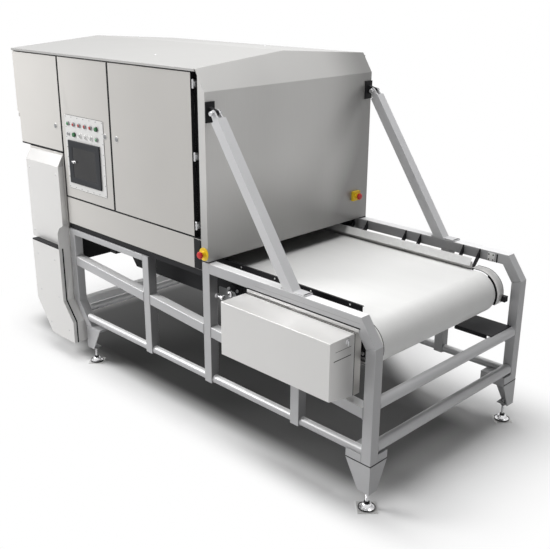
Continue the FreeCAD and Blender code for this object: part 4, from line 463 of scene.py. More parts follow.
def joined(shapes):
    """Several point and face lists made one."""
    points, faces, start = [], [], 0
    for some_points, some_faces in shapes:
        points.append(some_points)
        faces.extend(np.asarray(face) + start for face in some_faces)
        start += len(some_points)
    return np.concatenate(points), faces


def turned_shape(profile, axis, centre, steps=32):
    """A profile of radius and length pairs spun about an axis through the centre."""
    profile = np.asarray(profile, float)
    axis = np.asarray(axis, float)
    first = np.cross(axis, X if abs(axis[0]) < 0.9 else Y)
    first /= np.linalg.norm(first)
    second = np.cross(axis, first)
    angle = np.linspace(0, 2 * math.pi, steps, endpoint=False)
    ring = np.cos(angle)[:, None] * first + np.sin(angle)[:, None] * second
    points = (np.asarray(centre)[None, None, :] + profile[:, None, :1] * ring[None, :, :]
              + profile[:, None, 1:] * axis)
    points = points.reshape(-1, 3)
    faces = list(quads(len(profile), steps))
    faces.append(np.arange(steps)[::-1])
    faces.append(np.arange(steps) + (len(profile) - 1) * steps)
    return points, faces


def ring_shape(profile, axis, centre, steps=32):
    """A closed loop of radius and length pairs spun about an axis, as for a rim with a hole."""
    points, faces = turned_shape(profile, axis, centre, steps)
    return points, quads(len(profile), steps, closed_rows=True)


def pane(across, upright, front, bulge, rings=8):
    """A thin glass: a rounded rectangle shrunk ring by ring, standing out by bulge * (1 - share squared)."""
    width, tall = across[1] - across[0], upright[1] - upright[0]
    outline = rounded_square(width, tall, 0.003)
    middle = np.array([sum(across) / 2, front, sum(upright) / 2])
    share = np.linspace(1.0, 0.04, rings)
    flat = share[:, None, None] * outline[None]
    out = np.broadcast_to((-0.0002 - bulge * (1 - share ** 2))[:, None, None], flat.shape[:2] + (1,))
    base = np.concatenate([outline[:, :1], np.zeros((len(outline), 1)), outline[:, 1:]], 1)
    grid = np.concatenate([flat[..., :1], out, flat[..., 1:]], 2)
    points = middle + np.concatenate([base[None], grid]).reshape(-1, 3)
    count = len(outline)
    faces = list(quads(rings + 1, count))
    faces += [np.arange(count)[::-1], np.arange(count) + rings * count]
    return points, faces


def rounded_path(points, reach):
    """A line of points whose corners are quarter bends: each is a quadratic blend over the reach."""
    points = np.asarray(points, float)
    share = np.linspace(0, 1, 6)[:, None]
    made = [points[:1]]
    for before, corner, after in zip(points, points[1:], points[2:]):
        start = corner + reach * (before - corner) / np.linalg.norm(before - corner)
        end = corner + reach * (after - corner) / np.linalg.norm(after - corner)
        made.append((1 - share) ** 2 * start + 2 * share * (1 - share) * corner + share ** 2 * end)
    made.append(points[-1:])
    return np.concatenate(made)


def repeated(shape, places):
    """A shape copied to each place."""
    return joined([(shape[0] + np.asarray(place), shape[1]) for place in places])


def screw_head(radius, height, axis, steps=12):
    """A low domed head standing along the axis from the origin."""
    return turned_shape([(radius, 0), (radius, height * 0.45), (radius * 0.72, height * 0.9),
                         (radius * 0.35, height), (radius * 0.3, height * 0.55)], axis, (0, 0, 0), steps)


def hex_head(width, height, axis):
    """A hexagonal head with a chamfered top standing along the axis."""
    corner = width / math.sqrt(3)
    return turned_shape([(corner, 0), (corner, height * 0.82), (corner * 0.86, height)], axis, (0, 0, 0), 6)


def softened(node, width, finish, segments=2, angle=30, longest_only=0.0, outer_only=False, split=False,
             name=None, only=None):
    """A copy of a CAD node with rounded edges, which stands for the node.

    The copy is merged and its flat triangles joined, closed hollows inside it are dropped, and a Bevel
    modifier rounds every edge sharper than the angle, or only those longer than a given length or only
    those that stand out. Split cuts hollow-sided faces into plain ones, for thin folded profiles. Where
    a test is given, only the solids whose middle passes it are kept.
    """
    mesh = NODES[node].data.copy()
    shape = bmesh.new()
    shape.from_mesh(mesh)
    bmesh.ops.remove_doubles(shape, verts=shape.verts, dist=1e-6)
    drop_islands(shape, only)
    bmesh.ops.dissolve_limit(shape, angle_limit=math.radians(1.0), verts=shape.verts, edges=shape.edges)
    if split:
        bmesh.ops.connect_verts_concave(shape, faces=shape.faces)
    mesh_name = name or node + "_dressed"
    if longest_only or outer_only:
        weights = shape.edges.layers.float.new("bevel_weight_edge")
        for edge in shape.edges:
            sharp = len(edge.link_faces) == 2 and edge.calc_face_angle(0.0) > math.radians(angle)
            wanted = edge.calc_length() > longest_only and (edge.is_convex or not outer_only)
            edge[weights] = 1.0 if sharp and wanted else 0.0
    shape.to_mesh(mesh)
    shape.free()
    mesh.name = mesh_name
    thing = link(mesh_name, mesh, finish, BODY_OF[node])
    bevel = thing.modifiers.new("edges", "BEVEL")
    bevel.width = width
    bevel.segments = segments
    bevel.limit_method = "WEIGHT" if longest_only or outer_only else "ANGLE"
    bevel.angle_limit = math.radians(angle)
    bevel.use_clamp_overlap = True
    bevel.harden_normals = not longest_only
    if longest_only:
        mesh.shade_flat()
    else:
        mesh.shade_smooth()
        mesh.set_sharp_from_angle(angle=math.radians(40))
    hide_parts(node)
    return thing


def drop_islands(shape, only):
    """Deletes the closed hollows inside tubes and panels, and the solids that the test leaves out."""
    seen = set()
    doomed = set()
    for start in shape.faces:
        if start in seen:
            continue
        island, stack = [], [start]
        seen.add(start)
        while stack:
            face = stack.pop()
            island.append(face)
            for edge in face.edges:
                for other in edge.link_faces:
                    if other not in seen:
                        seen.add(other)
                        stack.append(other)
        volume = sum(face.verts[0].co.dot((face.verts[i].co).cross(face.verts[i + 1].co))
                     for face in island for i in range(1, len(face.verts) - 1))
        verts = {vert for face in island for vert in face.verts}
        centre = sum((vert.co for vert in verts), Vector()) / len(verts)
        if volume < 0 or (only and not only(centre)):
            doomed.update(verts)
    bmesh.ops.delete(shape, geom=list(doomed), context="VERTS")


FINISH = {}


# Places on the machine that several pieces share, in metres.

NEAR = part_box("main_door")[0][1]
FAR = -NEAR
POST_WIDTH = 0.060
POST_STARTS = (-0.552, 0.009, 0.691)
LEG_BACK = -1.294
CORNER_POST = 1.170
SIDE_MIDDLE = 0.650
BOTTOM_TUBE_HEIGHT = 0.320
BOTTOM_TUBE_RADIUS = 0.024
CROSSBAR_RADIUS = 0.030
CROSSBAR_PLACES = ((1.200, 0.580), (1.200, 0.345))
DOOR_BODIES = ("left_door", "control_door", "main_door")


def mid_rail_height(x):
    """The middle of the middle rail, which falls towards the infeed end."""
    return 0.622 - 0.0713 * x


def bead(outline, centre, axis, first, radius):
    """A weld bead: a small circle carried round an outline that lies across an axis.

    The outline's own axes are the first direction and the cross of axis and first direction.
    """
    second = np.cross(axis, first)
    path = np.asarray(centre) + outline[:, :1] * first + outline[:, 1:] * second
    section = circle(radius, 6)
    return carried(path, section, axis, closed=True), quads(len(path), len(section), closed_rows=True)


def slab(low, high, edge=0.001):
    """A small plate between two corners: a rounded rectangle carried over its thinnest way."""
    low, high = np.asarray(low, float), np.asarray(high, float)
    size = high - low
    thin = int(np.argmin(size))
    axes = [(Y, Z), (Z, X), (X, Y)][thin]
    wide = [(1, 2), (2, 0), (0, 1)][thin]
    across, up = size[wide[0]], size[wide[1]]
    outline = rounded_square(across, up, min(edge * 3, across / 3, up / 3))
    inner = outline * (1 - 2 * edge / np.abs(outline).max(0))
    middle = (low + high) / 2
    way = np.eye(3)[thin]
    rings = []
    for shape, place in ((inner, low[thin]), (outline, low[thin] + edge), (outline, high[thin] - edge),
                         (inner, high[thin])):
        flat = middle + shape[:, :1] * axes[0] + shape[:, 1:] * axes[1]
        flat[:, thin] = place
        rings.append(flat)
    count = len(outline)
    faces = list(quads(4, count)) + [np.arange(count)[::-1], np.arange(count) + 3 * count]
    return np.concatenate(rings), faces


# Pieces.


class SORTER_OT_frame(bpy.types.Operator):
    """Dress the welded frame: rounded tube corners, weld beads, foot shoes and base channels"""
    bl_idname = "sorter.frame"
    bl_label = "Welded frame"

    def execute(self, context):
        sizes = context.scene.sorter_sizes
        for node, finish in (("near_posts", "tube"), ("far_posts", "tube"), ("outfeed_legs", "tube"),
                             ("top_rails", "high_rail"), ("mid_rails", "mid_rail")):
            softened(node, sizes.tube_corner, finish, 3, longest_only=0.061)
        for node, share, finish in (("bottom_tubes", 0.5, "bottom_tube"), ("crossbars", 0.5, "crossbar"),
                                    ("foot_shoes", 1.0, "tube"), ("base_channels", 1.0, "dark")):
            softened(node, sizes.small_edge * share, finish)
        # A black sheet under the outlet stands for the shade there: painted shadow.
        shadow_sheet = slab((-1.3565, -0.615, 0.690), (-1.3535, 0.615, 0.905), 0.0008)
        build("outlet_shadow_sheet", shadow_sheet, "seal")
        end_strip = slab((-0.0545, -0.6812, 0.9740), (0.0075, -0.6796, 1.1460), 0.0004)
        build("apron_end_strip", end_strip, "seal")

        square = rounded_square(sizes.tube + 0.001, sizes.tube + 0.001, sizes.tube_corner)
        round_tube = circle(BOTTOM_TUBE_RADIUS, 28)
        beads = []
        for side in (-SIDE_MIDDLE, SIDE_MIDDLE):
            sides = [x for start in POST_STARTS for x in (start, start + POST_WIDTH)]
            faces = [LEG_BACK] + sides + [CORNER_POST]
            for x in faces:
                beads.append(bead(square, (x, side, mid_rail_height(x)), X, Y, sizes.weld))
            for x in faces[1:]:
                beads.append(bead(round_tube, (x, side, BOTTOM_TUBE_HEIGHT), X, Y, sizes.weld))
        crossbar = circle(CROSSBAR_RADIUS, 32)
        for x, z in CROSSBAR_PLACES:
            for y in (-0.620, 0.620):
                beads.append(bead(crossbar, (x, y, z), Y, X, sizes.weld))
        build("weld_beads", beads, "weld")

        seams = [slab((1.0740, -0.6808, 0.2662), (1.2306, -0.6794, 0.2706), 0.0002)]
        for side in (-1, 1):
            low, high = sorted((side * 0.5480, side * 0.6806))
            seams.append(slab((1.2294, low, 0.2662), (1.2308, high, 0.2706), 0.0002))
        build("shoe_seams", seams, "seal")
        return {"FINISHED"}


class SORTER_OT_cabinet(bpy.types.Operator):
    """Dress the cabinet: doors, apron, roof, hood, walls and the screws that hold its sheets"""
    bl_idname = "sorter.cabinet"
    bl_label = "Cabinet"

    def execute(self, context):
        sizes = context.scene.sorter_sizes
        for node in ("left_door", "control_door", "main_door", "apron"):
            softened(node, sizes.sheet_edge * 0.5, "panel", 3)
        for door, step, left, right, lap in (("left_door", 0.0285, 0.0, 0.0050, 0.0030),
                                             ("control_door", 0.0020, 0.0007, 0.0050, 0.0030),
                                             ("main_door", 0.0020, 0.0048, 0.0007, 0.0)):
            low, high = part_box(door)
            front, back = low[1] - 0.0008, high[1] - 0.0010
            foot, head = low[2] - 0.004, high[2] - 0.001
            strips = [slab((low[0] + step, front, low[2] - 0.0064),
                           (high[0] - 0.001, back, low[2] + 0.0035), 0.0004),
                      slab((high[0] - lap, front, foot), (high[0] + right, back, head), 0.0003)]
            if left:
                strips.append(slab((low[0] - left, front, foot), (low[0] + 0.003, back, head), 0.0003))
            build(door + "_seal", strips, "seal", door)
        for node in ("rear_panels", "outfeed_end_wall", "outfeed_housing"):
            softened(node, sizes.sheet_edge * 0.6, "panel", split=node == "outfeed_end_wall")
        softened("roof", sizes.small_edge, "roof")
        softened("end_hood", sizes.sheet_edge * 0.6, "hood")
        softened("door_frame", sizes.small_edge, "door_frame")

        bolt = repeated(hex_head(0.019, 0.008, Z), [(-1.871, 0.0, 2.1025)])
        rivet = screw_head(0.007, 0.004, Z)
        rivets = repeated(rivet, [(-0.642, -0.446, 2.0782), (-1.863, 0.233, 2.0936), (-1.872, 0.345, 2.0855),
                                  (-0.642, 0.446, 2.0782)])
        build("roof_fasteners", [bolt, rivets], "bright")
        return {"FINISHED"}


class SORTER_OT_door_hardware(bpy.types.Operator):
    """Add the quarter-turn locks with their rims, the hinge knuckles and the seam blocks"""
    bl_idname = "sorter.door_hardware"
    bl_label = "Locks and hinges"

    def execute(self, context):
        sizes = context.scene.sorter_sizes
        rim_profile = [(0.0185, 0.0), (0.0185, 0.0012), (0.0172, 0.0022), (0.0146, 0.0022), (0.0146, 0.0)]
        for door in DOOR_BODIES:
            node = door + "_lock"
            softened(node, sizes.small_edge * 0.5, "cast")
            low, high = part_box(node)
            centre = ((low[0] + high[0]) / 2, NEAR, (low[2] + high[2]) / 2)
            build(node + "_rim", ring_shape(rim_profile, -Y, centre), "plate", door)

        knuckle = [(0.0055, -0.0240), (0.0068, -0.0225), (0.0068, -0.0085), (0.0058, -0.0078),
                   (0.0058, -0.0072), (0.0068, -0.0065), (0.0068, 0.0065), (0.0058, 0.0072),
                   (0.0058, 0.0078), (0.0068, 0.0085), (0.0068, 0.0225), (0.0055, 0.0240)]
        knuckles, leaves = [], []
        for height in (1.983, 1.600, 1.218):
            knuckles.append(turned_shape(knuckle, Z, (-0.0360, -0.6730, height), 20))
            for left, front, right, half, edge in ((-0.0385, -0.6700, -0.0335, 0.020, 0.0008),
                                                   (-0.0280, -0.6760, -0.0180, 0.012, 0.0010)):
                leaves.append(slab((left, front, height - half), (right, -0.6485, height + half), edge))
        build("main_door_hinge_knuckles", knuckles, "bright")
        build("main_door_hinge_leaves", leaves, "cast")

        blocks = [slab((-1.3510, -0.6770, height - 0.014), (-1.3452, -0.6500, height + 0.014), 0.0008)
                  for height in (1.955, 1.610, 1.290)]
        build("seam_hinge_blocks", blocks, "cast")
        return {"FINISHED"}


class SORTER_OT_controls(bpy.types.Operator):
    """Dress the control plate: screen, catch, signal lamps, buttons, selectors, key switch and screws"""
    bl_idname = "sorter.controls"
    bl_label = "Control plate"

    def execute(self, context):
        sizes = context.scene.sorter_sizes
        plate_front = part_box("control_plate")[1][1] - 0.003
        softened("control_plate", sizes.small_edge * 0.4, "plate")
        softened("operator_screen", sizes.small_edge * 0.6, "bezel")
        softened("key_switch", sizes.small_edge * 0.4, "bright")
        for node in ("start_button", "reset_button"):
            softened(node, sizes.small_edge, "green", 3, outer_only=True)
        for node in ("feed_selector", "reject_selector", "light_selector"):
            softened(node, sizes.small_edge * 0.6, "white")

        column = [-1.258 + 0.0625 * number for number in range(6)]
        lamp_row, switch_row = 1.637, 1.573
        lens = [(0.0098, 0.0070), (0.0098, 0.0090), (0.0092, 0.0104), (0.0076, 0.0116), (0.0052, 0.0124),
                (0.0026, 0.0128)]
        rim = [(0.0142, 0.0), (0.0142, 0.0032), (0.0130, 0.0044), (0.0130, 0.0078), (0.0122, 0.0088),
               (0.0100, 0.0088), (0.0100, 0.0)]
        guard = [(0.0156, 0.0), (0.0156, 0.0036), (0.0146, 0.0046), (0.0136, 0.0046), (0.0136, 0.0)]
        red_lamps, green_lamps, rims, guards, pale_guards = [], [], [], [], []
        for number in range(5):
            centre = (column[number], plate_front, lamp_row)
            shape = turned_shape(lens, -Y, centre, 28)
            (green_lamps if number == 0 else red_lamps).append(shape)
            rims.append(ring_shape(rim, -Y, centre, 28))
        centre = (column[5], plate_front, switch_row)
        green_lamps.append(turned_shape(lens, -Y, centre, 28))
        rims.append(ring_shape(rim, -Y, centre, 28))
        for number, row in ((1, switch_row), (5, lamp_row), (2, switch_row),
                            (3, switch_row), (4, switch_row)):
            shape = ring_shape(guard, -Y, (column[number], plate_front, row), 28)
            (guards if number in (1, 5) else pale_guards).append(shape)
        build("red_lamps", red_lamps, "red_lens", "control_door")
        build("green_lamps", green_lamps, "green_lens", "control_door")
        build("lamp_rims", rims, "cast", "control_door")
        build("button_rims", guards, "switch", "control_door")
        build("selector_rims", pale_guards, "white", "control_door")

        marks = []
        for number in (2, 3, 4):
            marks.append(slab((column[number] - 0.0010, -0.6996, switch_row + 0.0015),
                              (column[number] + 0.0010, -0.6988, switch_row + 0.0085), 0.0002))
        marks.append(slab((column[0] - 0.0012, -0.6996, switch_row - 0.006),
                          (column[0] + 0.0012, -0.6988, switch_row + 0.006), 0.0002))
        build("switch_marks", marks, "switch", "control_door")

        glass = pane((-1.2215, -1.2273 + 0.2623), (1.2995, 1.4925), -0.6903, 0.0005)
        build("screen_glass", glass, "screen", "control_door")

        stud = [(0.0085, 0.0), (0.0085, 0.003), (0.0060, 0.005), (0.0060, 0.009),
                (0.0078, 0.011), (0.0078, 0.014), (0.0055, 0.016), (0.0020, 0.0165)]
        catch = turned_shape(stud, -Y, (-1.196, -0.692, 1.400), 24)
        lever = slab((-1.232, -0.6975, 1.3955), (-1.200, -0.6935, 1.4045), 0.0010)
        build("screen_catch", [catch, lever], "chrome", "control_door")

        pan = screw_head(0.0036, 0.0018, -Y, 10)
        spots = [(x, plate_front, z) for z in (1.680, 1.230) for x in np.linspace(-1.287, -0.886, 7)]
        spots += [(x, plate_front, z) for x in (-1.287, -0.886) for z in np.linspace(1.295, 1.615, 6)]
        build("plate_screws", repeated(pan, spots), "cast", "control_door")

        # A thin black line round the plate's edge is a painted shadow of that edge.
        outline = rounded_square(0.4235, 0.4725, 0.012, 5)
        line = bead(outline, (-1.0865, NEAR, 1.455), Y, X, 0.0011)
        build("plate_edge_shadow", line, "seal", "control_door")
        return {"FINISHED"}


class SORTER_OT_emergency_stops(bpy.types.Operator):
    """Dress both emergency stops: yellow plate and red mushroom head"""
    bl_idname = "sorter.emergency_stops"
    bl_label = "Emergency stops"

    def execute(self, context):
        sizes = context.scene.sorter_sizes
        for node in ("near_estop_base", "far_estop_base"):
            softened(node, sizes.small_edge, "yellow")
        for node in ("near_estop_button", "far_estop_button"):
            softened(node, sizes.small_edge * 1.6, "red", 3, outer_only=True)
        return {"FINISHED"}


class SORTER_OT_side_covers(bpy.types.Operator):
    """Dress the folded covers beside the outfeed end, with the lid's rubber seal and screws"""
    bl_idname = "sorter.side_covers"
    bl_label = "Side covers"

    def execute(self, context):
        sizes = context.scene.sorter_sizes
        softened("upper_side_cover", sizes.sheet_edge, "cover", 3)
        softened("lower_side_cover", sizes.small_edge * 0.8, "cover")
        seam = -0.7375
        outline = np.array([(-1.3615, seam, 0.7955), (-1.7035, seam, 0.7955), (-1.7035, seam, 0.3702),
                            (-1.5338, seam, 0.1505), (-1.2545, seam, 0.1505), (-1.2545, seam, 0.3001),
                            (-1.3615, seam, 0.4301)])
        strip = carried(outline, rounded_square(0.0100, 0.0030, 0.0008, 2), Y, closed=True)
        rubber = (strip, quads(len(outline), len(strip) // len(outline), closed_rows=True))
        ledge = slab((-1.7040, -0.7650, 0.7950), (-1.3655, -0.7215, 0.8045), 0.0008)
        build("lower_cover_seal", [rubber, ledge], "seal")
        pan = screw_head(0.0065, 0.0028, -Y, 12)
        lid, upper = (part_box(node)[0][1] + 0.0006 for node in ("lower_side_cover", "upper_side_cover"))
        spots = [(x, lid, z) for x, z in ((-1.427, 0.708), (-1.414, 0.444), (-1.542, 0.225), (-1.314, 0.227),
                                          (-1.640, 0.708), (-1.640, 0.444))]
        spots += [(x, upper, z) for x in (-1.735, -1.400) for z in (0.850, 1.290)]
        build("cover_screws", repeated(pan, spots), "bright")
        return {"FINISHED"}


class SORTER_OT_conveyor(bpy.types.Operator):
    """Dress the belt, its drums, guards, brackets and bearings"""
    bl_idname = "sorter.conveyor"
    bl_label = "Conveyor"

    def execute(self, context):
        sizes = context.scene.sorter_sizes
        softened("belt", sizes.small_edge, "belt", angle=40)
        for node in ("head_drum", "tension_drum", "discharge_drum"):
            softened(node, sizes.small_edge, "bright")
        # Painted shade: the conveyor's side plates get the dark finish because they lie in shade.
        softened("conveyor_sides", sizes.small_edge, "dark")
        softened("side_guards", sizes.small_edge * 0.6, "dark", name="dark_guards",
                 only=lambda centre: centre.y < 0 or centre.x > 1.0)
        softened("side_guards", sizes.small_edge * 0.6, "cover", name="far_guard",
                 only=lambda centre: centre.y > 0 and centre.x < 1.0)
        # The leaning white strip on the far guard is tilted up to catch the top lamp; its white is partly the
        # guard's pale face and partly painted light.
        leaning = np.array([(-0.0140, -0.0210), (-0.0120, -0.0210), (0.0075, 0.0210), (0.0055, 0.0210)])
        lit_strip = tube_shape(((-0.828, 0.5055, 0.9740), (0.971, 0.5055, 0.9740)), leaning, Y)
        build("guard_lit_strip", lit_strip, "white")
        angle = np.linspace(math.pi / 2, -0.42, 30)
        line = np.stack([1.021 + 0.1285 * np.cos(angle), np.zeros(30), 0.808 + 0.1285 * np.sin(angle)], 1)
        line = np.concatenate([[(0.975, 0.0, 0.9365)], line])
        sheet, rubber = rounded_square(0.066, 0.0020, 0.0008, 2), rounded_square(0.0040, 0.0034, 0.0008, 2)
        hoops = [tube_shape(line + side * Y, sheet, Y) for side in (-0.546, 0.546)]
        edges = [tube_shape(line + side * Y, rubber, Y) for side in (-0.5125, -0.5795, 0.5125, 0.5795)]
        build("end_guard_hoops", hoops, "cover")
        build("end_guard_edges", edges, "seal")
        softened("drum_bearings", sizes.sheet_edge, "dark")
        softened("conveyor_brackets", sizes.small_edge, "dark")
        # Painted shade: the slider bed gets the dark finish as shade.
        coat(NODES["slider_bed"].data, "dark")

        button = screw_head(0.0050, 0.0026, -Y, 10)
        strip = [(x, -0.5230, 0.9905) for x in np.arange(0.16, 1.0, 0.260)]
        build("guard_bolts", repeated(button, strip), "white")

        corners = [(x + across, z + up) for x, z in ((1.021, 0.808), (-0.828, 0.868), (0.121, 0.8207))
                   for across in (-0.034, 0.034) for up in (-0.034, 0.034)]
        bolts = [repeated(hex_head(0.017, 0.008, side * Y), [(x, side * 0.5490, z) for x, z in corners])
                 for side in (-1, 1)]
        build("bearing_bolts", bolts, "bright")

        stretcher = [(0.0150, 0.0), (0.0150, 0.012), (0.0100, 0.012), (0.0100, 0.052), (0.0160, 0.052),
                     (0.0160, 0.064), (0.0130, 0.067), (0.0060, 0.067)]
        eye = [(0.0190, 0.0), (0.0190, 0.010), (0.0160, 0.013), (0.0080, 0.013), (0.0080, 0.0)]
        screws = [turned_shape(stretcher, X, (0.069, -0.6370, 0.832), 12),
                  ring_shape(eye, -Y, (0.152, -0.6000, 0.851), 24)]
        bracket = slab((0.057, -0.6040, 0.806), (0.136, -0.5960, 0.874), 0.0025)
        build("belt_tension_bracket", bracket, "cast")
        plate = slab((1.007, 0.6170, 0.966), (1.051, 0.6200, 1.016), 0.0006)
        strap = slab((1.064, 0.6160, 0.966), (1.071, 0.6200, 1.016), 0.0008)
        small = screw_head(0.0045, 0.0022, -Y, 10)
        dots = repeated(small, [(x, 0.6170, z) for x in (1.015, 1.043) for z in (0.976, 1.006)])
        build("rail_sensor_plate", plate, "white")
        build("rail_sensor_strap", strap, "seal")
        build("rail_sensor_screws", dots, "seal")
        build("belt_tension_screws", screws, "chrome")
        return {"FINISHED"}


class SORTER_OT_drive(bpy.types.Operator):
    """Dress the belt drive: cover, black gasket, latch, end slots, motor and pulley"""
    bl_idname = "sorter.drive"
    bl_label = "Belt drive"

    def execute(self, context):
        sizes = context.scene.sorter_sizes
        softened("drive_cover", sizes.small_edge * 0.8, "cover", 3)
        softened("drive_back_plate", sizes.small_edge, "panel")
        softened("drive_motor", sizes.sheet_edge, "cast")
        softened("motor_pulley", sizes.small_edge, "bright")
        coat(NODES["drive_belt"].data, "seal")

        low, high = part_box("drive_cover")
        wide, tall = high[0] - low[0] - 0.0030, high[2] - low[2] - 0.0030
        middle = ((low[0] + high[0]) / 2, -0.6885, (low[2] + high[2]) / 2)
        build("drive_gasket", bead(rounded_square(wide, tall, 0.004), middle, Y, X, 0.0023), "seal")

        end = high[0]
        slots = [slab((end - 0.001, -0.836, 0.8385), (end + 0.0006, -0.713, 0.8425), 0.0003),
                 slab((end - 0.001, -0.826, 0.8835), (end + 0.0004, -0.713, 0.8855), 0.0002)]
        build("drive_end_slots", slots, "seal")
        latch = [slab((end, -0.757, 0.905), (end + 0.006, -0.731, 0.929), 0.0010),
                 slab((end + 0.006, -0.749, 0.894), (end + 0.011, -0.739, 0.921), 0.0012)]
        build("drive_latch", latch, "bright")

        # Painted light and shade on the rail face above the drive: a pale band stands for the bounce-lit top
        # of the tray under the rail, a black band is a painted shadow under the rail, and a thin darker line
        # runs along the rail's face.
        strip = slab((0.373, -0.6835, 0.9445), (1.128, -0.6795, 0.9620), 0.0008)
        shadow_band = slab((0.373, -0.6812, 0.9625), (1.134, -0.6795, 0.9690), 0.0004)
        dark_line = slab((0.430, -0.6808, 0.9905), (1.128, -0.6795, 0.9930), 0.0004)
        build("drive_rail_lit_band", strip, "plate")
        build("drive_rail_shadow_band", shadow_band, "dark")
        build("drive_rail_dark_line", dark_line, "weld")
        return {"FINISHED"}


class SORTER_OT_braces(bpy.types.Operator):
    """Dress the slanting braces with their forks, pins and foot plates"""
    bl_idname = "sorter.braces"
    bl_label = "Braces"

    def execute(self, context):
        sizes = context.scene.sorter_sizes
        softened("braces", sizes.tube_corner * 0.7, "brace", 3, longest_only=0.15, split=True)
        softened("brace_brackets", sizes.small_edge, "dark")
        pin = [(0.0115, -0.0370), (0.0125, -0.0355), (0.0125, -0.0320), (0.0090, -0.0320), (0.0090, 0.0320),
               (0.0125, 0.0320), (0.0125, 0.0355), (0.0115, 0.0370)]
        pins = [turned_shape(pin, Y, (0.1114, side, 1.8450), 24) for side in (-SIDE_MIDDLE, SIDE_MIDDLE)]
        build("brace_pins", pins, "bright")

        bolts, slots = [], []
        for side in (-SIDE_MIDDLE, SIDE_MIDDLE):
            pair = [(0.636, side + off, 1.0330) for off in (-0.014, 0.014)]
            bolts.append(repeated(hex_head(0.013, 0.006, Z), pair))
            slots.append(slab((0.7680, side - 0.026, 1.0320), (0.7760, side + 0.026, 1.0342), 0.0004))
        build("brace_foot_bolts", bolts, "bright")
        build("brace_foot_slots", slots, "seal")
        return {"FINISHED"}


class SORTER_OT_feet(bpy.types.Operator):
    """Dress the levelling feet with threaded stems, and the plates under them"""
    bl_idname = "sorter.feet"
    bl_label = "Levelling feet"

    def execute(self, context):
        sizes = context.scene.sorter_sizes
        ridge = np.arange(0.036, 0.098, 0.0020)
        thread = np.stack([np.where(np.arange(2 * len(ridge)) % 2, 0.0085, 0.0076),
                           np.repeat(ridge, 2) + np.tile((0.0, 0.0010), len(ridge))], 1)
        rim = [(0.0442, 0.0045), (0.0447, 0.0060), (0.0447, 0.0100), (0.0425, 0.0115), (0.0425, 0.0045)]
        locknut = [(0.0135, 0.0970), (0.0150, 0.0985), (0.0150, 0.1080), (0.0135, 0.1095)]
        # The ring at the stem's base is a painted shadow: a dark ring where the disc's hollow lies in shade.
        stem_shadow_ring = [(0.0140, 0.0340), (0.0145, 0.0350), (0.0145, 0.0400), (0.0120, 0.0420)]
        for side, y in (("near", -0.640), ("far", 0.640)):
            for end, x in (("infeed", 1.190), ("outfeed", -1.190)):
                body = "%s_%s_foot" % (side, end)
                softened(body, sizes.small_edge * 0.6, "chrome", 3)
                axis = (x, y, 0.0)
                build(body + "_thread", turned_shape(thread, Z, axis, 20), "bright", body)
                # Dark pieces: a ring round the disc's foot, the locknut, and the painted shadow ring at the
                # stem.
                rubber = [ring_shape(rim, Z, axis, 40), turned_shape(locknut, Z, axis, 6),
                          turned_shape(stem_shadow_ring, Z, axis, 24)]
                build(body + "_rubber", rubber, "dark", body)
        softened("base_plates", sizes.small_edge * 0.6, "plate")
        return {"FINISHED"}


class SORTER_OT_inside(bpy.types.Operator):
    """Give the scanner, ejector and chute their finishes"""
    bl_idname = "sorter.inside"
    bl_label = "Inside"

    def execute(self, context):
        sizes = context.scene.sorter_sizes
        softened("scanner_unit", sizes.sheet_edge, "dark")
        softened("ejector_bar", sizes.small_edge, "dark")
        softened("product_chute", sizes.small_edge, "panel")
        return {"FINISHED"}


class SORTER_OT_rear(bpy.types.Operator):
    """Add the screws and lifting handles of the rear panels"""
    bl_idname = "sorter.rear"
    bl_label = "Rear panels"

    def execute(self, context):
        pan = screw_head(0.0060, 0.0028, Y, 12)
        rows = [(x, FAR, 1.011) for x in np.linspace(-1.320, -0.020, 6)]
        for left, right, bottom in ((-1.897, -1.346, 1.430), (-1.3405, -0.8075, 1.061),
                                    (-0.7965, 0.0, 1.061)):
            heights = np.linspace(bottom + 0.025, 2.020, 4)
            rows += [(x, FAR, z) for x in (left + 0.022, right - 0.022) for z in heights]
        build("rear_screws", repeated(pan, rows), "bright")
        hoop = ((-0.001, 1.500), (0.025, 1.500), (0.025, 1.620), (-0.001, 1.620))
        grips = []
        for x in (-1.640, -1.180, -0.720, -0.260):
            path = [(x, FAR + out, height) for out, height in hoop]
            grips.append(tube_shape(rounded_path(path, 0.010), circle(0.0055, 12), X))
        build("rear_handles", grips, "bright")
        return {"FINISHED"}


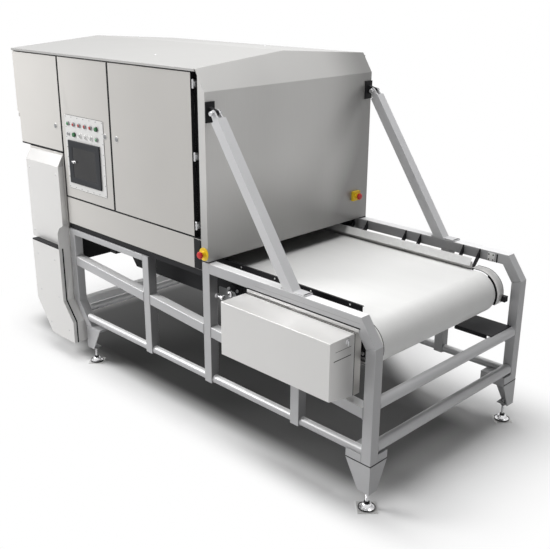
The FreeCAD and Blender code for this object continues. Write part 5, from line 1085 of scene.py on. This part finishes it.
class SORTER_OT_stage(bpy.types.Operator):
    """Set the pale floor with a painted shadow under the machine, the soft studio lamps, the world and the
    camera
    """
    bl_idname = "sorter.stage"
    bl_label = "Stage"

    def execute(self, context):
        scene = context.scene
        mesh = bpy.data.meshes.new("floor")
        mesh.from_pydata([(-30, -30, 0), (30, -30, 0), (30, 30, 0), (-30, 30, 0)], [], [(0, 1, 2, 3)])
        floor = bpy.data.objects.new("floor", mesh)
        scene.collection.objects.link(floor)
        paint = Finish("floor_paint", (0.90, 0.90, 0.90), 0.75)
        past_end = (paint.along(0) - 1.20).least(-2.15 - paint.along(0)) * 0.75
        behind = (paint.along(0) * -1.0).band(-0.9, 0.3)
        past_far = (paint.along(1) - 0.66) * (1.0 - behind * 0.72)
        past_side = past_far.least((-0.66 - paint.along(1)) * 2.4)
        far_out = (past_end.least(0.0) ** 2 + past_side.least(0.0) ** 2) ** 0.5
        from_near = (paint.along(1) + 0.66).band(0.0, 0.20)
        from_far = (0.66 - paint.along(1) + behind * 0.6).band(0.05, 0.30)
        # Painted shadow: the floor is painted dark under the machine, darker still under its outfeed half, and
        # fades out just beyond its sides.
        under = (past_end * -1.0).band(-0.12, 0.20) * from_near * from_far
        shadow = paint.mix(behind, (0.15, 0.15, 0.15), (0.04, 0.04, 0.04))
        paint.feed(Base_Color=paint.mix(under, (0.90, 0.90, 0.90), shadow))
        white = paint.node("ShaderNodeEmission")
        both = paint.node("ShaderNodeMixShader", {}, {"Fac": far_out.band(0.0, 0.55) * paint.seen(),
                                                      1: Signal(paint, paint.shader.outputs[0]), 2: white})
        paint.tree.links.new(both.socket, paint.tree.nodes["Material Output"].inputs["Surface"])
        mesh.materials.append(paint.material)

        world = bpy.data.worlds.new("studio")
        scene.world = world
        world.use_nodes = True
        studio = Graph(world.node_tree)
        back = studio.tree.nodes["Background"]
        back.inputs["Color"].default_value = (1, 1, 1, 1)
        strength = studio.node("ShaderNodeMapRange", {},
                               {"Value": studio.seen(), "To Min": 0.06, "To Max": 1.0})
        studio.tree.links.new(strength.socket, back.inputs["Strength"])

        def lamp(name, place, target, size, power):
            """A square soft lamp aimed at a point."""
            data = bpy.data.lights.new(name, "AREA")
            data.shape = "SQUARE"
            data.size = size
            data.energy = power
            thing = bpy.data.objects.new(name, data)
            scene.collection.objects.link(thing)
            aim = (Vector(place) - Vector(target)).to_track_quat("Z", "Y")
            thing.matrix_world = Matrix.Translation(place) @ aim.to_matrix().to_4x4()

        lamp("top", (-0.2, 0.0, 7.5), (-0.2, 0, 0), 6.0, 500)
        lamp("key", (-5.4, -4.9, 5.2), (-1.0, 0, 1.1), 3.0, 445)

        azimuth, elevation = math.radians(45.93), math.radians(19.57)
        back_way = Vector((math.sin(azimuth) * math.cos(elevation), -math.cos(azimuth) * math.cos(elevation),
                           math.sin(elevation)))
        right_way = Vector((math.cos(azimuth), math.sin(azimuth), 0))
        up_way = back_way.cross(right_way)
        turn = Matrix((right_way, up_way, back_way)).transposed()
        data = bpy.data.cameras.new("camera")
        data.sensor_fit = "HORIZONTAL"
        data.sensor_width = 36
        data.lens = 54.77
        data.shift_x = 0.0307
        data.shift_y = -0.0008
        data.clip_end = 100
        camera = bpy.data.objects.new("camera", data)
        scene.collection.objects.link(camera)
        roll = Matrix.Rotation(math.radians(-0.1), 4, "Z")
        camera.matrix_world = Matrix.Translation((3.3659, -3.4983, 2.5049)) @ turn.to_4x4() @ roll
        scene.camera = camera
        scene.view_settings.view_transform = "Standard"
        return {"FINISHED"}


class SORTER_PT_panel(bpy.types.Panel):
    """Lists the sorter's pieces and sizes"""
    bl_idname = "SORTER_PT_panel"
    bl_label = "Belt sorter"
    bl_space_type = "VIEW_3D"
    bl_region_type = "UI"
    bl_category = "Sorter"

    def draw(self, context):
        for group in (context.scene.sorter_sizes, context.scene.sorter_colours):
            box = self.layout.box()
            for name in group.__annotations__:
                box.prop(group, name)
        for step in STEPS:
            self.layout.operator(step.bl_idname)


STEPS = (SORTER_OT_frame, SORTER_OT_cabinet, SORTER_OT_door_hardware, SORTER_OT_controls,
         SORTER_OT_emergency_stops, SORTER_OT_side_covers, SORTER_OT_conveyor, SORTER_OT_drive,
         SORTER_OT_braces, SORTER_OT_feet, SORTER_OT_inside, SORTER_OT_rear, SORTER_OT_stage)
CLASSES = (SorterSizes, SorterColours, *STEPS, SORTER_PT_panel)


def register():
    """Registers the classes and the scene's settings."""
    for kind in CLASSES:
        bpy.utils.register_class(kind)
    bpy.types.Scene.sorter_sizes = PointerProperty(type=SorterSizes)
    bpy.types.Scene.sorter_colours = PointerProperty(type=SorterColours)


def unregister():
    """Removes what register added."""
    del bpy.types.Scene.sorter_colours
    del bpy.types.Scene.sorter_sizes
    for kind in reversed(CLASSES):
        bpy.utils.unregister_class(kind)


def main():
    """Registers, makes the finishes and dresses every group."""
    register()
    FINISH.update(make_finishes(bpy.context.scene.sorter_colours))
    bpy.ops.sorter.frame()
    bpy.ops.sorter.cabinet()
    bpy.ops.sorter.door_hardware()
    bpy.ops.sorter.controls()
    bpy.ops.sorter.emergency_stops()
    bpy.ops.sorter.side_covers()
    bpy.ops.sorter.conveyor()
    bpy.ops.sorter.drive()
    bpy.ops.sorter.braces()
    bpy.ops.sorter.feet()
    bpy.ops.sorter.inside()
    bpy.ops.sorter.rear()
    bpy.ops.sorter.stage()
    bpy.context.view_layer.update()


if __name__ == "__main__":
    main()
